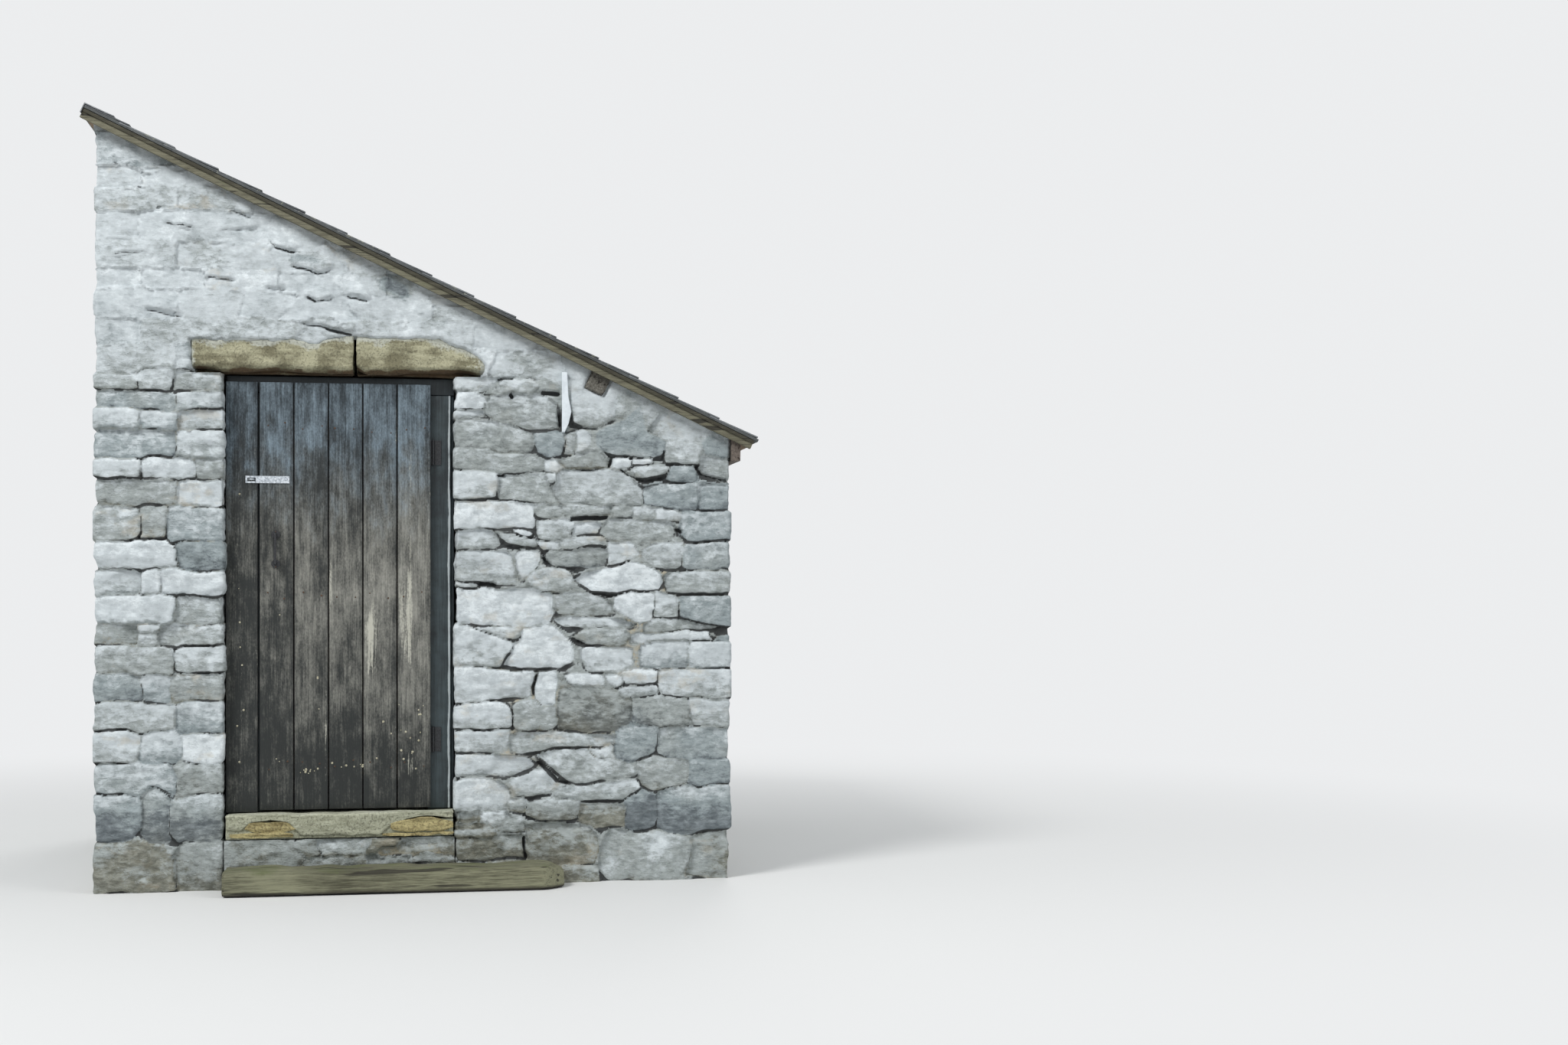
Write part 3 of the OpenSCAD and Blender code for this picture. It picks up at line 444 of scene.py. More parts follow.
def find_stones(u, z):
    """The stone that each point of the wall is on, and the distance to that stone's edge."""
    tile, margin, free_edge = 0.3, 0.35, 0.011
    stone = np.zeros(u.shape, int)
    edge = np.zeros(u.shape)
    tiles = np.floor(u / tile).astype(int) * 1000 + np.floor(z / tile).astype(int)
    for one in np.unique(tiles):
        here = tiles == one
        pu, pz = u[here], z[here]
        du, dz = from_centre(pu.mean(), pz.mean(), slice(None))
        near = np.flatnonzero((abs(du) < stone_a + margin) & (abs(dz) < stone_b + margin))
        along, up = from_centre(pu[:, None], pz[:, None], near)
        over = along[..., None] * side_u[near] + up[..., None] * side_z[near] - side_far[near]
        most = over.max(-1)
        r = stone_round[near]
        over = most + r * np.log(np.exp((over - most[..., None]) / r[:, None]).sum(-1))
        order = np.argsort(over, axis=1)[:, :2]
        first, second = np.take_along_axis(over, order, 1).T
        stone[here] = near[order[:, 0]]
        edge[here] = np.minimum((second - first) / 2, free_edge - first)
    return stone, edge


# Gaps where the lime has dropped out, with both ends and half the width of each; the lower edges of
# stones that stand out through the flush limewash, with the height of the stone above; and grey
# places where the lime is thin, with how much of it has gone
gaps = [(0.335, 2.271, 0.405, 2.272, 0.005), (0.397, 2.199, 0.403, 2.190, 0.010),
        (0.550, 2.209, 0.612, 2.204, 0.010), (0.618, 2.068, 0.616, 2.110, 0.006),
        (0.672, 2.056, 0.775, 2.050, 0.004), (0.668, 1.642, 0.825, 1.655, 0.011),
        (0.645, 1.871, 0.790, 1.872, 0.003), (0.350, 1.843, 0.372, 1.842, 0.006),
        (0.842, 1.890, 0.845, 1.925, 0.006), (0.890, 1.879, 0.925, 1.856, 0.004),
        (0.925, 1.856, 1.000, 1.834, 0.004), (1.000, 1.834, 1.085, 1.840, 0.003),
        (1.243, 1.886, 1.255, 1.850, 0.009), (1.255, 1.848, 1.370, 1.820, 0.004),
        (1.143, 1.594, 1.163, 1.585, 0.008), (0.262, 1.350, 0.330, 1.353, 0.010),
        (0.512, 0.930, 0.516, 0.850, 0.006), (0.570, 1.440, 0.545, 1.472, 0.006),
        (0.457, 0.190, 0.462, 0.110, 0.008), (0.702, 1.094, 0.730, 1.076, 0.005),
        (0.520, 0.535, 0.560, 0.500, 0.008), (0.560, 0.500, 0.600, 0.455, 0.009),
        (0.600, 0.455, 0.645, 0.440, 0.006)]
ledges = [(-0.660, 2.865, -0.640, 2.842, 0.004, 0.05), (-0.640, 2.842, -0.550, 2.825, 0.006, 0.07),
          (-0.560, 2.762, -0.500, 2.748, 0.005, 0.08), (-0.500, 2.748, -0.450, 2.735, 0.005, 0.09),
          (-0.450, 2.735, -0.390, 2.750, 0.003, 0.08), (-0.670, 2.662, -0.600, 2.655, 0.003, 0.06),
          (-0.500, 2.625, -0.460, 2.610, 0.006, 0.07), (-0.460, 2.610, -0.385, 2.622, 0.004, 0.08),
          (-0.520, 2.513, -0.410, 2.495, 0.004, 0.06), (-0.410, 2.495, -0.300, 2.474, 0.007, 0.08),
          (-0.310, 2.640, -0.230, 2.622, 0.005, 0.06), (-0.930, 2.700, -0.820, 2.690, 0.004, 0.08),
          (-1.100, 2.930, -1.000, 2.905, 0.004, 0.07), (-0.820, 3.000, -0.740, 2.975, 0.003, 0.08),
          (-0.860, 2.905, -0.720, 2.925, 0.002, 0.06), (-1.180, 2.560, -1.040, 2.540, 0.004, 0.08),
          (-0.020, 2.560, 0.080, 2.545, 0.001, 0.05), (-1.310, 2.780, -1.190, 2.800, 0.003, 0.07)]
# Just under each such edge runs a carved line, painted dark as the shadow that the edge casts
gaps += [(x0, z0 - half, x1, z1 - half, half) for x0, z0, x1, z1, half, _ in ledges]
thin_places = [(0.44, 2.36, 0.53, 2.345, 0.045, 0.24), (-0.14, 2.69, -0.08, 2.66, 0.040, 0.75),
               (-0.55, 2.79, -0.43, 2.78, 0.030, 0.34), (0.925, 2.20, 0.935, 2.10, 0.030, 0.30),
               (0.86, 2.02, 1.04, 1.99, 0.060, 0.22), (1.30, 2.00, 1.36, 1.97, 0.035, 0.30),
               (-0.50, 2.88, -0.43, 2.86, 0.035, 0.10), (-0.24, 2.53, -0.14, 2.53, 0.025, 0.12),
               (0.06, 2.54, 0.10, 2.53, 0.030, 0.12), (-0.95, 2.80, -0.88, 2.76, 0.050, 0.16),
               (0.28, 2.56, 0.36, 2.50, 0.030, 0.08)]


def past_lines(x, z, lines):
    """Distance from each place to the nearest of the lines, less half that line's width."""
    far = np.full(np.shape(x), 9.0)
    for x0, z0, x1, z1, half in lines:
        dx, dz = x1 - x0, z1 - z0
        t = np.clip(((x - x0) * dx + (z - z0) * dz) / (dx * dx + dz * dz), 0, 1)
        far = np.minimum(far, np.hypot(x - x0 - t * dx, z - z0 - t * dz) - half)
    return far


def stood_out(x, z):
    """How far the limewashed stones over the door stand out above their lower edges."""
    out = np.zeros(np.shape(x))
    for x0, z0, x1, z1, half, tall in ledges:
        t = (x - x0) / (x1 - x0)
        up = z - z0 - (z1 - z0) * t
        within = smooth(t, -0.2, 0.1) * (1 - smooth(t, 0.9, 1.2))
        fading = smooth(up, -0.003, 0.003) * (1 - smooth(up, 0.01, tall))
        out = np.maximum(out, (0.006 + 1.2 * half) * within * fading)
    return out


def on_front(base):
    """Whether each place is on the outer face of the front."""
    return base[..., 1] < 0.02 - half_d


# The third shade of a wall runs from 0 to 1 over this distance across the edge of a joint
joint_fade = 0.024


def walk(path, start, u):
    """Plan places and outward directions along a path that starts at start, with round corners."""
    turn_r = 0.016
    path = np.array(path, float)
    legs = np.diff(path, axis=0)
    length = np.hypot(*legs.T)
    along = start + np.append(0, np.cumsum(length))
    way = legs / length[:, None]
    facing = np.stack([way[:, 1], -way[:, 0]], -1)
    leg = np.clip(np.searchsorted(along, u, side="right") - 1, 0, len(legs) - 1)
    spot = path[leg] + (u - along[leg])[..., None] * way[leg]
    out = facing[leg]
    for i in range(1, len(legs)):
        near = abs(u - along[i]) < turn_r
        turn = ((u[near] - along[i]) / turn_r)[:, None]
        both = facing[i - 1] * (1 - turn) + facing[i] * (1 + turn)
        both /= np.linalg.norm(both, axis=1)[:, None]
        spot[near] = path[i] + turn_r * (both - facing[i - 1] - facing[i])
        out[near] = both
    return spot, out


def stone_face(base, stone, du, dz):
    """How far the face of a stone stands out: it is proud and tilts, has three corners split off, and
    is rough all over."""
    face = stone_proud[stone] + stone_tilt[0][stone] * du + stone_tilt[1][stone] * dz
    for way, slope, begin in zip(chip_way, chip_slope, chip_start):
        cu, cz = np.cos(way[stone]), np.sin(way[stone])
        size = stone_a[stone] * abs(cu) + stone_b[stone] * abs(cz)
        face = face - slope[stone] * np.maximum(du * cu + dz * cz - begin[stone] * size, 0)
    face = face + 0.003 * lump(base, 0.07) + 0.0012 * lump(base + 9, 0.024)
    face = face + 0.0020 * strata(base, np.array((0.15, 0.15, 0.018)))
    face = face + 0.003 - 0.010 * abs(lump(base + 13, 0.065)) + 0.006 * abs(ripple(base + 13, 0.04))
    return np.clip(face, -0.026, 0.006)


def masonry(path, start, pitches, low, high, rise, flush=None, wash=0.6, relief=1.0, gone=None,
            sunk=None):
    """One skin of walling along a plan path, as points, faces and shades. It is a grid along the path
    whose points go on to the edges of the joints, and then in or out to the stones and joints."""
    lengths = np.hypot(*np.diff(np.array(path), axis=0).T)
    u = np.array([start])
    for length, pitch in zip(lengths, pitches):
        u = np.append(u, u[-1] + np.linspace(0, length, max(1, round(length / pitch)) + 1)[1:])
    z = np.linspace(low, high, max(1, round((high - low) / rise)) + 1)
    along, height = np.meshgrid(u, z, indexing="ij")
    spot, out = walk(path, start, along)
    base = np.concatenate([spot, height[..., None]], -1)
    bent_u = along + 0.015 * wave(base, 0.17) + 0.007 * ripple(base, 0.055) + 0.002 * lump(base, 0.02)
    above = base + 7
    bent_z = height + 0.014 * wave(above, 0.19) + 0.0075 * ripple(above, 0.065) + 0.002 * lump(above, 0.02)
    stone, edge = find_stones(bent_u, bent_z)
    slope_u, slope_z = np.gradient(edge, u, z)
    steep = np.hypot(slope_u, slope_z) + 1e-6
    level = abs(slope_z) / steep
    gap = stone_joint[stone] * (0.55 + 0.6 * level)
    miss = gap - edge
    snap = (abs(miss) < 0.5 * rise) & (steep > 0.3)
    snap[[0, -1]] = snap[:, [0, -1]] = False
    shift = np.where(snap, np.clip(miss / steep, -0.6 * rise, 0.6 * rise), 0) / steep
    along, height = along + shift * slope_u, height + shift * slope_z
    edge = np.where(snap, gap, edge)
    spot, out = walk(path, start, along)

    # Joints are deepest where lime is missing, and under a stone more than above it
    du, dz = from_centre(bent_u, bent_z, stone)
    flat = np.zeros(edge.shape) if flush is None else flush(base)
    missing = np.clip(0.5 + 0.9 * patch(base + 3, 0.13) + 0.5 * ripple(base, 0.05), 0, 1)
    below = smooth(-dz / stone_b[stone], -0.6, 0.6)
    shaded = below * (0.3 + 0.7 * level)
    pit = relief * (0.004 + 0.020 * missing) * (0.35 + 0.65 * shaded) * (1 - flat) + 0.001
    arris = relief * 0.003 * (1 - 0.85 * flat)
    on_stone = np.clip(edge / gap, 0, 1)

    # Limewash that lies flush levels the stones' faces and waves a little itself
    face = relief * (1 - 0.6 * flat) * stone_face(base, stone, du, dz)
    face = face + 0.005 * flat * (wave(base, 0.14) - 1)
    groove = np.where(edge < gap, -pit + (pit - arris) * on_stone ** 1.6,
                      -arris * (1 - smooth(edge - gap, 0, 0.008)))
    proud = groove + face * on_stone - (0 if sunk is None else sunk(base))

    # The third shade passes 0.5 at the edge of a joint, a little out of it where the lime is missing. It is
    # raised under a stone, as painted shadow, and lowered in the joint above a stone, as painted light on the
    # mortar
    open_by = (missing - 0.5) * 0.008 + 0.006 * (shaded - 0.55) - 0.02 * flat
    joints_and_painted_shadow = 0.5 + (np.minimum(gap - edge, 0.003) + open_by) / joint_fade
    joints_and_painted_shadow = joints_and_painted_shadow - 0.14 * (1 - shaded) * smooth(-edge, 0, 0.014)
    lime = (wash(base) if callable(wash) else wash) + stone_wash[stone] * (1 - 0.7 * flat)
    tone = np.clip(stone_tone[stone] + 0.12 * lump(base + 5, 0.09) * (stone_tone[stone] < 0.9), 0, 1)
    # Only the front has open gaps, stones that stand out through the limewash, and thin places
    if flush is not None:
        at_front = on_front(base)
        front_u = bent_u - girth * (bent_u > girth - half_w - 0.1)
        open_joint = past_lines(front_u, bent_z, gaps) + 9 * ~at_front
        proud = proud - 0.030 * (1 - smooth(open_joint, -0.006, 0.004)) * (1 - 0.5 * flat)
        ragged_x = base[..., 0] + 0.006 * ripple(base, 0.03)
        proud = proud + stood_out(ragged_x, base[..., 2] + 0.004 * lump(base, 0.03)) * at_front
        joints_and_painted_shadow = np.maximum(joints_and_painted_shadow, 0.5 + (0.001 - open_joint) / joint_fade)
        for *line, half, less in thin_places:
            away = past_lines(base[..., 0], base[..., 2], [(*line, 0)])
            thin = less * np.exp(-((away / half) ** 2)) * at_front
            lime = lime - thin
            tone = tone - thin * (tone < 0.9)
    top = wall_top(spot[..., 0])
    points = np.concatenate([spot + out * proud[..., None], np.minimum(height, top)[..., None]], -1)

    number = np.arange(along.size).reshape(along.shape)
    cells = np.stack([number[:-1, :-1], number[1:, :-1], number[1:, 1:], number[:-1, 1:]], -1)
    under = height < top - 0.001
    keep = under[:-1, :-1] | under[1:, :-1]
    if gone is not None:
        keep &= ~gone((along[:-1, :-1] + along[1:, 1:]) / 2, (height[:-1, :-1] + height[1:, 1:]) / 2)
    used, cells = np.unique(cells[keep], return_inverse=True)
    # The lime is thicker towards each stone's top and thinner along its lower edge, partly as weathering and
    # partly as a painted highlight above and painted shade below
    lime = lime + 0.15 * np.clip(dz / stone_b[stone], -1, 1) * (1 - flat)
    lime = lime - 0.20 * (1 - smooth(edge - gap, 0, 0.010)) * (1 - flat) * below
    mortar = (1 - on_stone) * (1 - flat)
    buff = smooth(patch(base + 21, 0.35), -0.1, 0.35) * mortar
    lime = lime + (0.46 - 0.22 * buff - lime) * mortar
    tone = tone + (0.985 - tone) * buff
    colours = np.clip(np.stack([tone, lime, joints_and_painted_shadow], -1), 0, 1).reshape(-1, 3)
    return points.reshape(-1, 3)[used], cells.reshape(-1, 4), colours[used]


def make_piece(name, parts, material, nodes=(), body="root", sharp=None):
    """Joins parts, each of points, faces and shades, into one object that rides on a body."""
    points, faces, colours = [], [], []
    for part_points, part_faces, part_shades in parts:
        faces += (np.asarray(part_faces) + sum(map(len, points))).tolist()
        points.append(part_points)
        colours.append(np.broadcast_to(part_shades, part_points.shape))
    mesh = bpy.data.meshes.new(name)
    mesh.from_pydata(np.concatenate(points).tolist(), [], faces)
    mesh.materials.append(material)
    layer = mesh.color_attributes.new("shade", "FLOAT_COLOR", "POINT")
    rgba = np.insert(np.concatenate(colours), 3, 1, axis=1)
    layer.data.foreach_set("color", rgba.astype(np.float32).ravel())
    mesh.shade_smooth()
    if sharp:
        mesh.set_sharp_from_angle(angle=math.radians(sharp))
    made = bpy.data.objects.new(name, mesh)
    bpy.context.collection.objects.link(made)
    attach(made, body)
    if nodes:
        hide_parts(*nodes)
    return made


def front_flush(base):
    """Where the limewash lies flush: over the lintel and under the verge."""
    x, z = base[..., 0], base[..., 2]
    over_jamb = 1 - smooth(x, jamb_left - 0.2, jamb_left)
    ragged = 0.08 * patch(base + 11, 0.2) + 0.16 * wave(base + 11, 0.35) * over_jamb
    over_door = smooth(z + ragged, lintel_z - 0.04, lintel_z + 0.10)
    under_verge = 1 - smooth(wall_top(x) - z + ragged, 0.08, 0.22)
    return 0.95 * np.maximum(over_door, under_verge) * on_front(base)


def front_wash(base):
    """Thickest over the door and under the verge, and mostly gone at the ground."""
    x, z = base[..., 0], base[..., 2]
    right = smooth(x, 0.40, 1.0) * smooth(z, 0.95, 1.4) * (1 - smooth(z, 1.95, 2.15))
    over = smooth(z, lintel_z - 0.05, lintel_z + 0.15)
    ground = 1 - smooth(z + 0.08 * patch(base, 0.25), 0.24, 0.42)
    over = np.maximum(over, front_flush(base) * (1 - 0.4 * smooth(x, 0.8, 1.1)))
    bare = ground * (0.50 - 0.30 * patch(base + 4, 0.11))
    return 0.67 + 0.02 * right + 0.02 * smooth(z, 1.4, 2.0) + 0.14 * over - bare


def side_wash(base):
    """Patchy, gone at the ground, and as thick as the front's where it comes to the front corner."""
    ground = 1 - smooth(base[..., 2] + 0.08 * patch(base, 0.3), 0.15, 0.40)
    patchy = 0.54 + 0.16 * patch(base, 0.6) - 0.34 * ground
    return patchy + (front_wash(base) - patchy) * smooth(-base[..., 1], inner_y - 0.5, inner_y)


def tucked_ends(base):
    """Takes the ends of a side skin in behind the skins that turn the corners."""
    return 0.004 * smooth(abs(base[..., 1]), inner_y, inner_y + lap)


def tucked_foot(base):
    """Takes the foot of the skin over the doorway in behind the skins below it."""
    return 0.004 * (1 - smooth(base[..., 2], lintel_z - lap, lintel_z))


def within_lintel(x, z):
    """How far a place on the wall face is inside the ragged outline that the lime leaves bare."""
    low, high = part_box("lintel_left")[0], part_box("lintel_right")[1]
    top = np.interp(x, [low.x, -0.70, -0.45, -0.33, -0.29, -0.10, 0.08, high.x - 0.12, high.x - 0.04, high.x],
                    [2.425, 2.435, 2.428, 2.450, 2.462, 2.460, 2.450, 2.425, 2.385, 2.330])
    place = np.stack([x, 0 * x, z], -1)
    ragged = 0.014 * ripple(place, 0.08) + 0.007 * lump(place, 0.028) - 0.004
    return np.minimum(np.minimum(x - low.x, high.x - x), top - z) + ragged


def behind_lintel(base):
    """Turns the skin in behind the lintel's face, so that the lime laps it unevenly."""
    return 0.04 * smooth(within_lintel(base[..., 0], base[..., 2]), -0.008, 0.020)


def purlin_pocket(base):
    """Leaves a dark edge round the end of the low purlin."""
    low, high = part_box("purlin_low")
    turn = math.atan(rake)
    dx, dz = base[..., 0] - (low.x + high.x) / 2, base[..., 2] - (low.z + high.z) / 2
    up, out = -dx * math.cos(turn) + dz * math.sin(turn), dx * math.sin(turn) + dz * math.cos(turn)
    away = np.hypot(np.maximum(abs(up + 0.022) - 0.045, 0), np.maximum(abs(out - 0.016) - 0.0465, 0))
    return 0.016 * (1 - smooth(away, 0.002, 0.014)) * on_front(base)


def room_skin(start_at, end_at, start, low, high, **changes):
    """The inner face of a wall, which is plainer and thick with lime."""
    pitch = 0.03
    return masonry([start_at, end_at], start, (pitch,), low, high, pitch, wash=0.9, relief=0.5, **changes)


rubble = rubble_finish()
lap = 0.015
front_pitch = 0.007
outer_pitch, outer_rise = 0.013, 0.012
front = masonry([(jamb_right, -inner_y), (jamb_right, -half_d), (half_w, -half_d), (half_w, -inner_y)],
                jamb_right - half_d + inner_y, (0.014, front_pitch, 0.012), 0, lintel_z, front_pitch,
                front_flush, front_wash, sunk=purlin_pocket)
room = room_skin((inner_x, -inner_y), (jamb_right, -inner_y), 20, 0, lintel_z)
make_piece("walling_front_right", [front, room], rubble, ("front_wall_right",))

front = masonry([(-half_w, -inner_y), (-half_w, -half_d), (jamb_left, -half_d), (jamb_left, -inner_y)],
                girth - half_w - half_d + inner_y, (0.012, front_pitch, 0.014), 0, lintel_z, front_pitch,
                front_flush, front_wash)
room = room_skin((jamb_left, -inner_y), (-inner_x, -inner_y), 22, 0, lintel_z)
make_piece("walling_front_left", [front, room], rubble, ("front_wall_left",))

beam_low, beam_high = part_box("inner_lintel")
room_start = 24


def beam_hole(u, z):
    """The part of the room's skin over the doorway that the inner lintel takes up."""
    x = room_start + inner_x - u
    return (z < beam_high.z) & (x > beam_low.x) & (x < beam_high.x)


front = masonry([(-half_w, -inner_y), (-half_w, -half_d), (half_w, -half_d)],
                girth - half_w - half_d + inner_y, (0.012, front_pitch), lintel_z - lap, rear_high.z,
                front_pitch, front_flush, front_wash, gone=lambda u, z: within_lintel(u - girth, z) > 0.02,
                sunk=lambda base: behind_lintel(base) + purlin_pocket(base) + tucked_foot(base))
room = room_skin((inner_x, -inner_y), (-inner_x, -inner_y), room_start, lintel_z - lap, rear_high.z,
                 gone=beam_hole, sunk=tucked_foot)
make_piece("walling_over_door", [front, room], rubble, ("front_wall_top",))

outer = masonry([(half_w, inner_y), (half_w, half_d), (-half_w, half_d), (-half_w, inner_y)],
                half_w + half_d + inner_y, (outer_pitch, outer_pitch, outer_pitch),
                0, rear_high.z, outer_rise, wash=side_wash)
room = room_skin((-inner_x, inner_y), (inner_x, inner_y), 26, 0, rear_high.z)
make_piece("walling_rear", [outer, room], rubble, ("rear_wall",))

side_y = inner_y + lap
outer = masonry([(-half_w, side_y), (-half_w, -side_y)], 3 * half_w + 3 * half_d - side_y,
                (outer_pitch,), 0, rear_high.z, outer_rise, wash=side_wash, sunk=tucked_ends)
room = room_skin((-inner_x, -inner_y), (-inner_x, inner_y), 28, 0, rear_high.z)
make_piece("walling_left", [outer, room], rubble, ("left_wall",))

outer = masonry([(half_w, -side_y), (half_w, side_y)], half_w + half_d - side_y, (outer_pitch,),
                0, wall_top(half_w) + 0.013, outer_rise, wash=side_wash, sunk=tucked_ends)
room = room_skin((inner_x, inner_y), (inner_x, -inner_y), 30, 0, wall_top(inner_x) + 0.03)
make_piece("walling_right", [outer, room], rubble, ("right_wall",))


# Under the door: a low course of bare rubble, a weathered slab for a sill, and an ochre wedge
# stone let in under each end of it to bring it level, with dark mortar in the gaps between them.
def rough_box(low, high, cell, edge, wear, size, seed, shade=(0.5, 0.5, 0.5)):
    """A block whose uneven surface stays inside its corners: cell is the pitch of its grid, edge the
    rounding of its arrises, wear the depth of its dents and size their length."""
    low, high = np.array(low, float), np.array(high, float)
    lines = [np.concatenate([[a], np.linspace(a + edge, b - edge, max(1, round((b - a) / c)) + 1), [b]])
             for a, b, c in zip(low, high, np.broadcast_to(cell, 3))]
    grid = np.stack(np.meshgrid(*lines, indexing="ij"), -1)
    outside = np.zeros(grid.shape[:3], bool)
    for axis in range(3):
        np.moveaxis(outside, axis, 0)[[0, -1]] = True
    number = np.cumsum(outside).reshape(outside.shape) - 1
    points = grid[outside]
    faces = []
    for axis in range(3):
        for end in (0, -1):
            sheet = np.take(number, end, axis)
            quads = np.stack([sheet[:-1, :-1], sheet[1:, :-1], sheet[1:, 1:], sheet[:-1, 1:]], -1)
            quads = quads.reshape(-1, 4)
            faces.append(quads[:, ::-1] if (end == 0) != (axis == 1) else quads)
    core = np.clip(points, low + edge, high - edge)
    out = points - core
    out /= np.linalg.norm(out, axis=1)[:, None]
    field = lattice(seed)
    dent = 0.6 * field(points, np.array(size)) + 0.4 * field(points + 5, np.array(size) / 2.7)
    points = core + out * (edge - wear * (0.5 + 0.5 * dent)[:, None])
    return points, np.concatenate(faces), np.array(shade)


def with_shades(points, faces, *three):
    """A part with its three shades, each of them one number or one for every point."""
    return points, faces, np.stack([shade + np.zeros(len(points)) for shade in three], -1)


footing_low, footing_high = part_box("door_footing")
core = rough_box(footing_low + Vector((0, 0.03, 0)), footing_high, 0.05, 0.012, 0.004, 0.08, 30,
                 (0.5, 0.1, 0.2))
course_pitch = 0.008
course = masonry([(footing_low.x, footing_low.y), (footing_high.x, footing_low.y)], girth + jamb_left,
                 (course_pitch,), 0, footing_high.z, course_pitch, wash=0.20)
make_piece("threshold_footing", [core, course], rubble, ("door_footing",))


def slab_finish(name, dark, pale, stain, pitted=0.3):
    """Bare stone between two tones, darkened towards a third colour where the third shade is high, for stains
    and painted shade.
    """
    material, place = open_finish(name)
    tone, lime, stain_and_painted_shade = shades(place)
    beds = place.stretched(1, 1, 5).cloud(0.10, 5, 0.65)
    fine = place.cloud(0.013, 5, 0.7)
    grit = place.cloud(0.004, 3, 0.7)
    colour = (beds * 0.7 + fine * 0.6 + (tone - 0.5) * 0.3).step(0.42, 0.86).tint(dark, pale)
    colour = (stain_and_painted_shade + (fine - 0.5) * 0.8).step(0.5, 0.95).tint(colour, stain)
    cover = (lime + (fine - 0.5) * 1.1 + (beds - 0.5) * 0.9 + (grit - 0.5) * 0.4).step(0.42, 0.80)
    colour = (cover * 0.92).tint(colour, (0.54, 0.555, 0.485))
    pits = 1 - place.cloud(0.008, 3, 0.5).step(0.36, 0.42)
    colour = (pits * pitted).tint(colour, (0.07, 0.06, 0.045))
    relief = fine * 0.6 + beds * 0.6 + grit * 0.4 - pits * 0.5
    return close_finish(material, place, colour, 0.9, relief, 0.006)


sill_stone = slab_finish("weathered sill slab", (0.30, 0.305, 0.215), (0.58, 0.59, 0.45), (0.12, 0.115, 0.08))
sill_low, sill_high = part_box("door_sill")
wedge_low, wedge_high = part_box("sill_wedges")
points, faces, _ = rough_box(sill_low + Vector((0.002, 0.004, 0)), sill_high - Vector((0.002, 0, 0)),
                             (0.012, 0.02, 0.012), 0.010, 0.008, (0.16, 0.1, 0.04), 31)
# The underside rises over the wedge stones: heights of it at places from the left end and the right
bed_x = [sill_low.x + x for x in (0, 0.07, 0.11, 0.20, 0.28, 0.33)]
bed_x += [sill_high.x - x for x in (0.33, 0.29, 0.21, 0.12, 0)]
bed_up = [0.034, 0.038, 0.070, 0.083, 0.066, 0.012, 0.006, 0.048, 0.082, 0.088, 0.080]
bed_z = sill_low.z + 0.003 + np.interp(points[:, 0], bed_x, bed_up)
bed_z += 0.005 * ripple(points * (1, 0, 0), 0.06)
share = (points[:, 2] - sill_low.z) / (sill_high.z - sill_low.z)
points[:, 2] = bed_z + share * (sill_high.z - bed_z)
# The slab's top edge is painted paler, with more lime, as a highlight where light falls on it; it also dips a
# little
lit = smooth(share, 0.86, 0.99)
points[:, 2] -= lit * (0.002 + 0.003 * ripple(points * (1, 0, 0), 0.09))
# The slab is darker towards its foot and at its left end, and in patches
stain_and_painted_shade = 0.4 * (1 - smooth(share, 0.05, 0.4)) + 0.25 * patch(points, 0.12)
stain_and_painted_shade = stain_and_painted_shade + 0.35 * (1 - smooth(points[:, 0], -0.70, -0.50))
sill = with_shades(points, faces, 0.4 + 0.6 * lit, 0.15 + 0.35 * lit, stain_and_painted_shade)
bedding = rough_box(sill_low + Vector((0.004, 0.014, 0.001)), sill_high - Vector((0.004, 0.02, 0.034)),
                    (0.02, 0.06, 0.01), 0.006, 0.005, 0.04, 32, (0.35, 0.15, 0.40))
make_piece("sill_slab", [sill, bedding], sill_stone, ("door_sill",), sharp=50)

wedge_stone = slab_finish("ochre wedge stone", (0.19, 0.145, 0.06), (0.60, 0.52, 0.26), (0.030, 0.026, 0.018))
leaves = []
# Each wedge has split along its beds into leaves, given by their ends, heights and taper
for k, (x0, x1, z0, z1, lens) in enumerate([
        (sill_high.x - 0.285, sill_high.x - 0.002, 0.018, 0.088, 0.66),
        (sill_high.x - 0.200, sill_high.x, 0.003, 0.026, 0.5),
        (sill_high.x - 0.320, sill_high.x - 0.170, 0.003, 0.024, 0.5),
        (sill_low.x + 0.085, sill_low.x + 0.315, 0.026, 0.086, 0.66),
        (sill_low.x + 0.020, sill_low.x + 0.300, 0.003, 0.034, 0.5)]):
    points, faces, _ = rough_box((x0, wedge_low.y + 0.002 + 0.004 * (k % 2), sill_low.z + z0),
                                 (x1, wedge_high.y, sill_low.z + z1), (0.010, 0.02, 0.007),
                                 0.006, 0.008, (0.06, 0.05, 0.014), 40 + k)
    middle = sill_low.z + (z0 + z1) / 2
    from_middle = abs(2 * (points[:, 0] - x0) / (x1 - x0) - 1)
    points[:, 2] = middle + (points[:, 2] - middle) * (1 - lens * from_middle ** 3)
    points[:, 2] += 0.005 * ripple(points * (1, 0, 0) + k, 0.045)
    layer = strata(points, np.array((0.3, 0.3, 0.009)))
    points[:, 1] += 0.004 * layer * (points[:, 1] < wedge_low.y + 0.03)
    points = np.maximum(points, wedge_low)
    edge = np.minimum(points[:, 0] - x0, x1 - points[:, 0])
    # Each leaf is darker towards its foot and at its ends
    foot = 1 - smooth(points[:, 2] - middle, -0.5 * (z1 - z0), -0.2 * (z1 - z0))
    stain_and_painted_shade = 0.75 * foot + 0.4 * (1 - smooth(edge, 0, 0.03))
    leaves.append(with_shades(points, faces, 0.5 + 0.35 * layer, 0.1, stain_and_painted_shade + 0.3 * layer))
make_piece("ochre_wedges", leaves, wedge_stone, ("sill_wedges",), sharp=50)


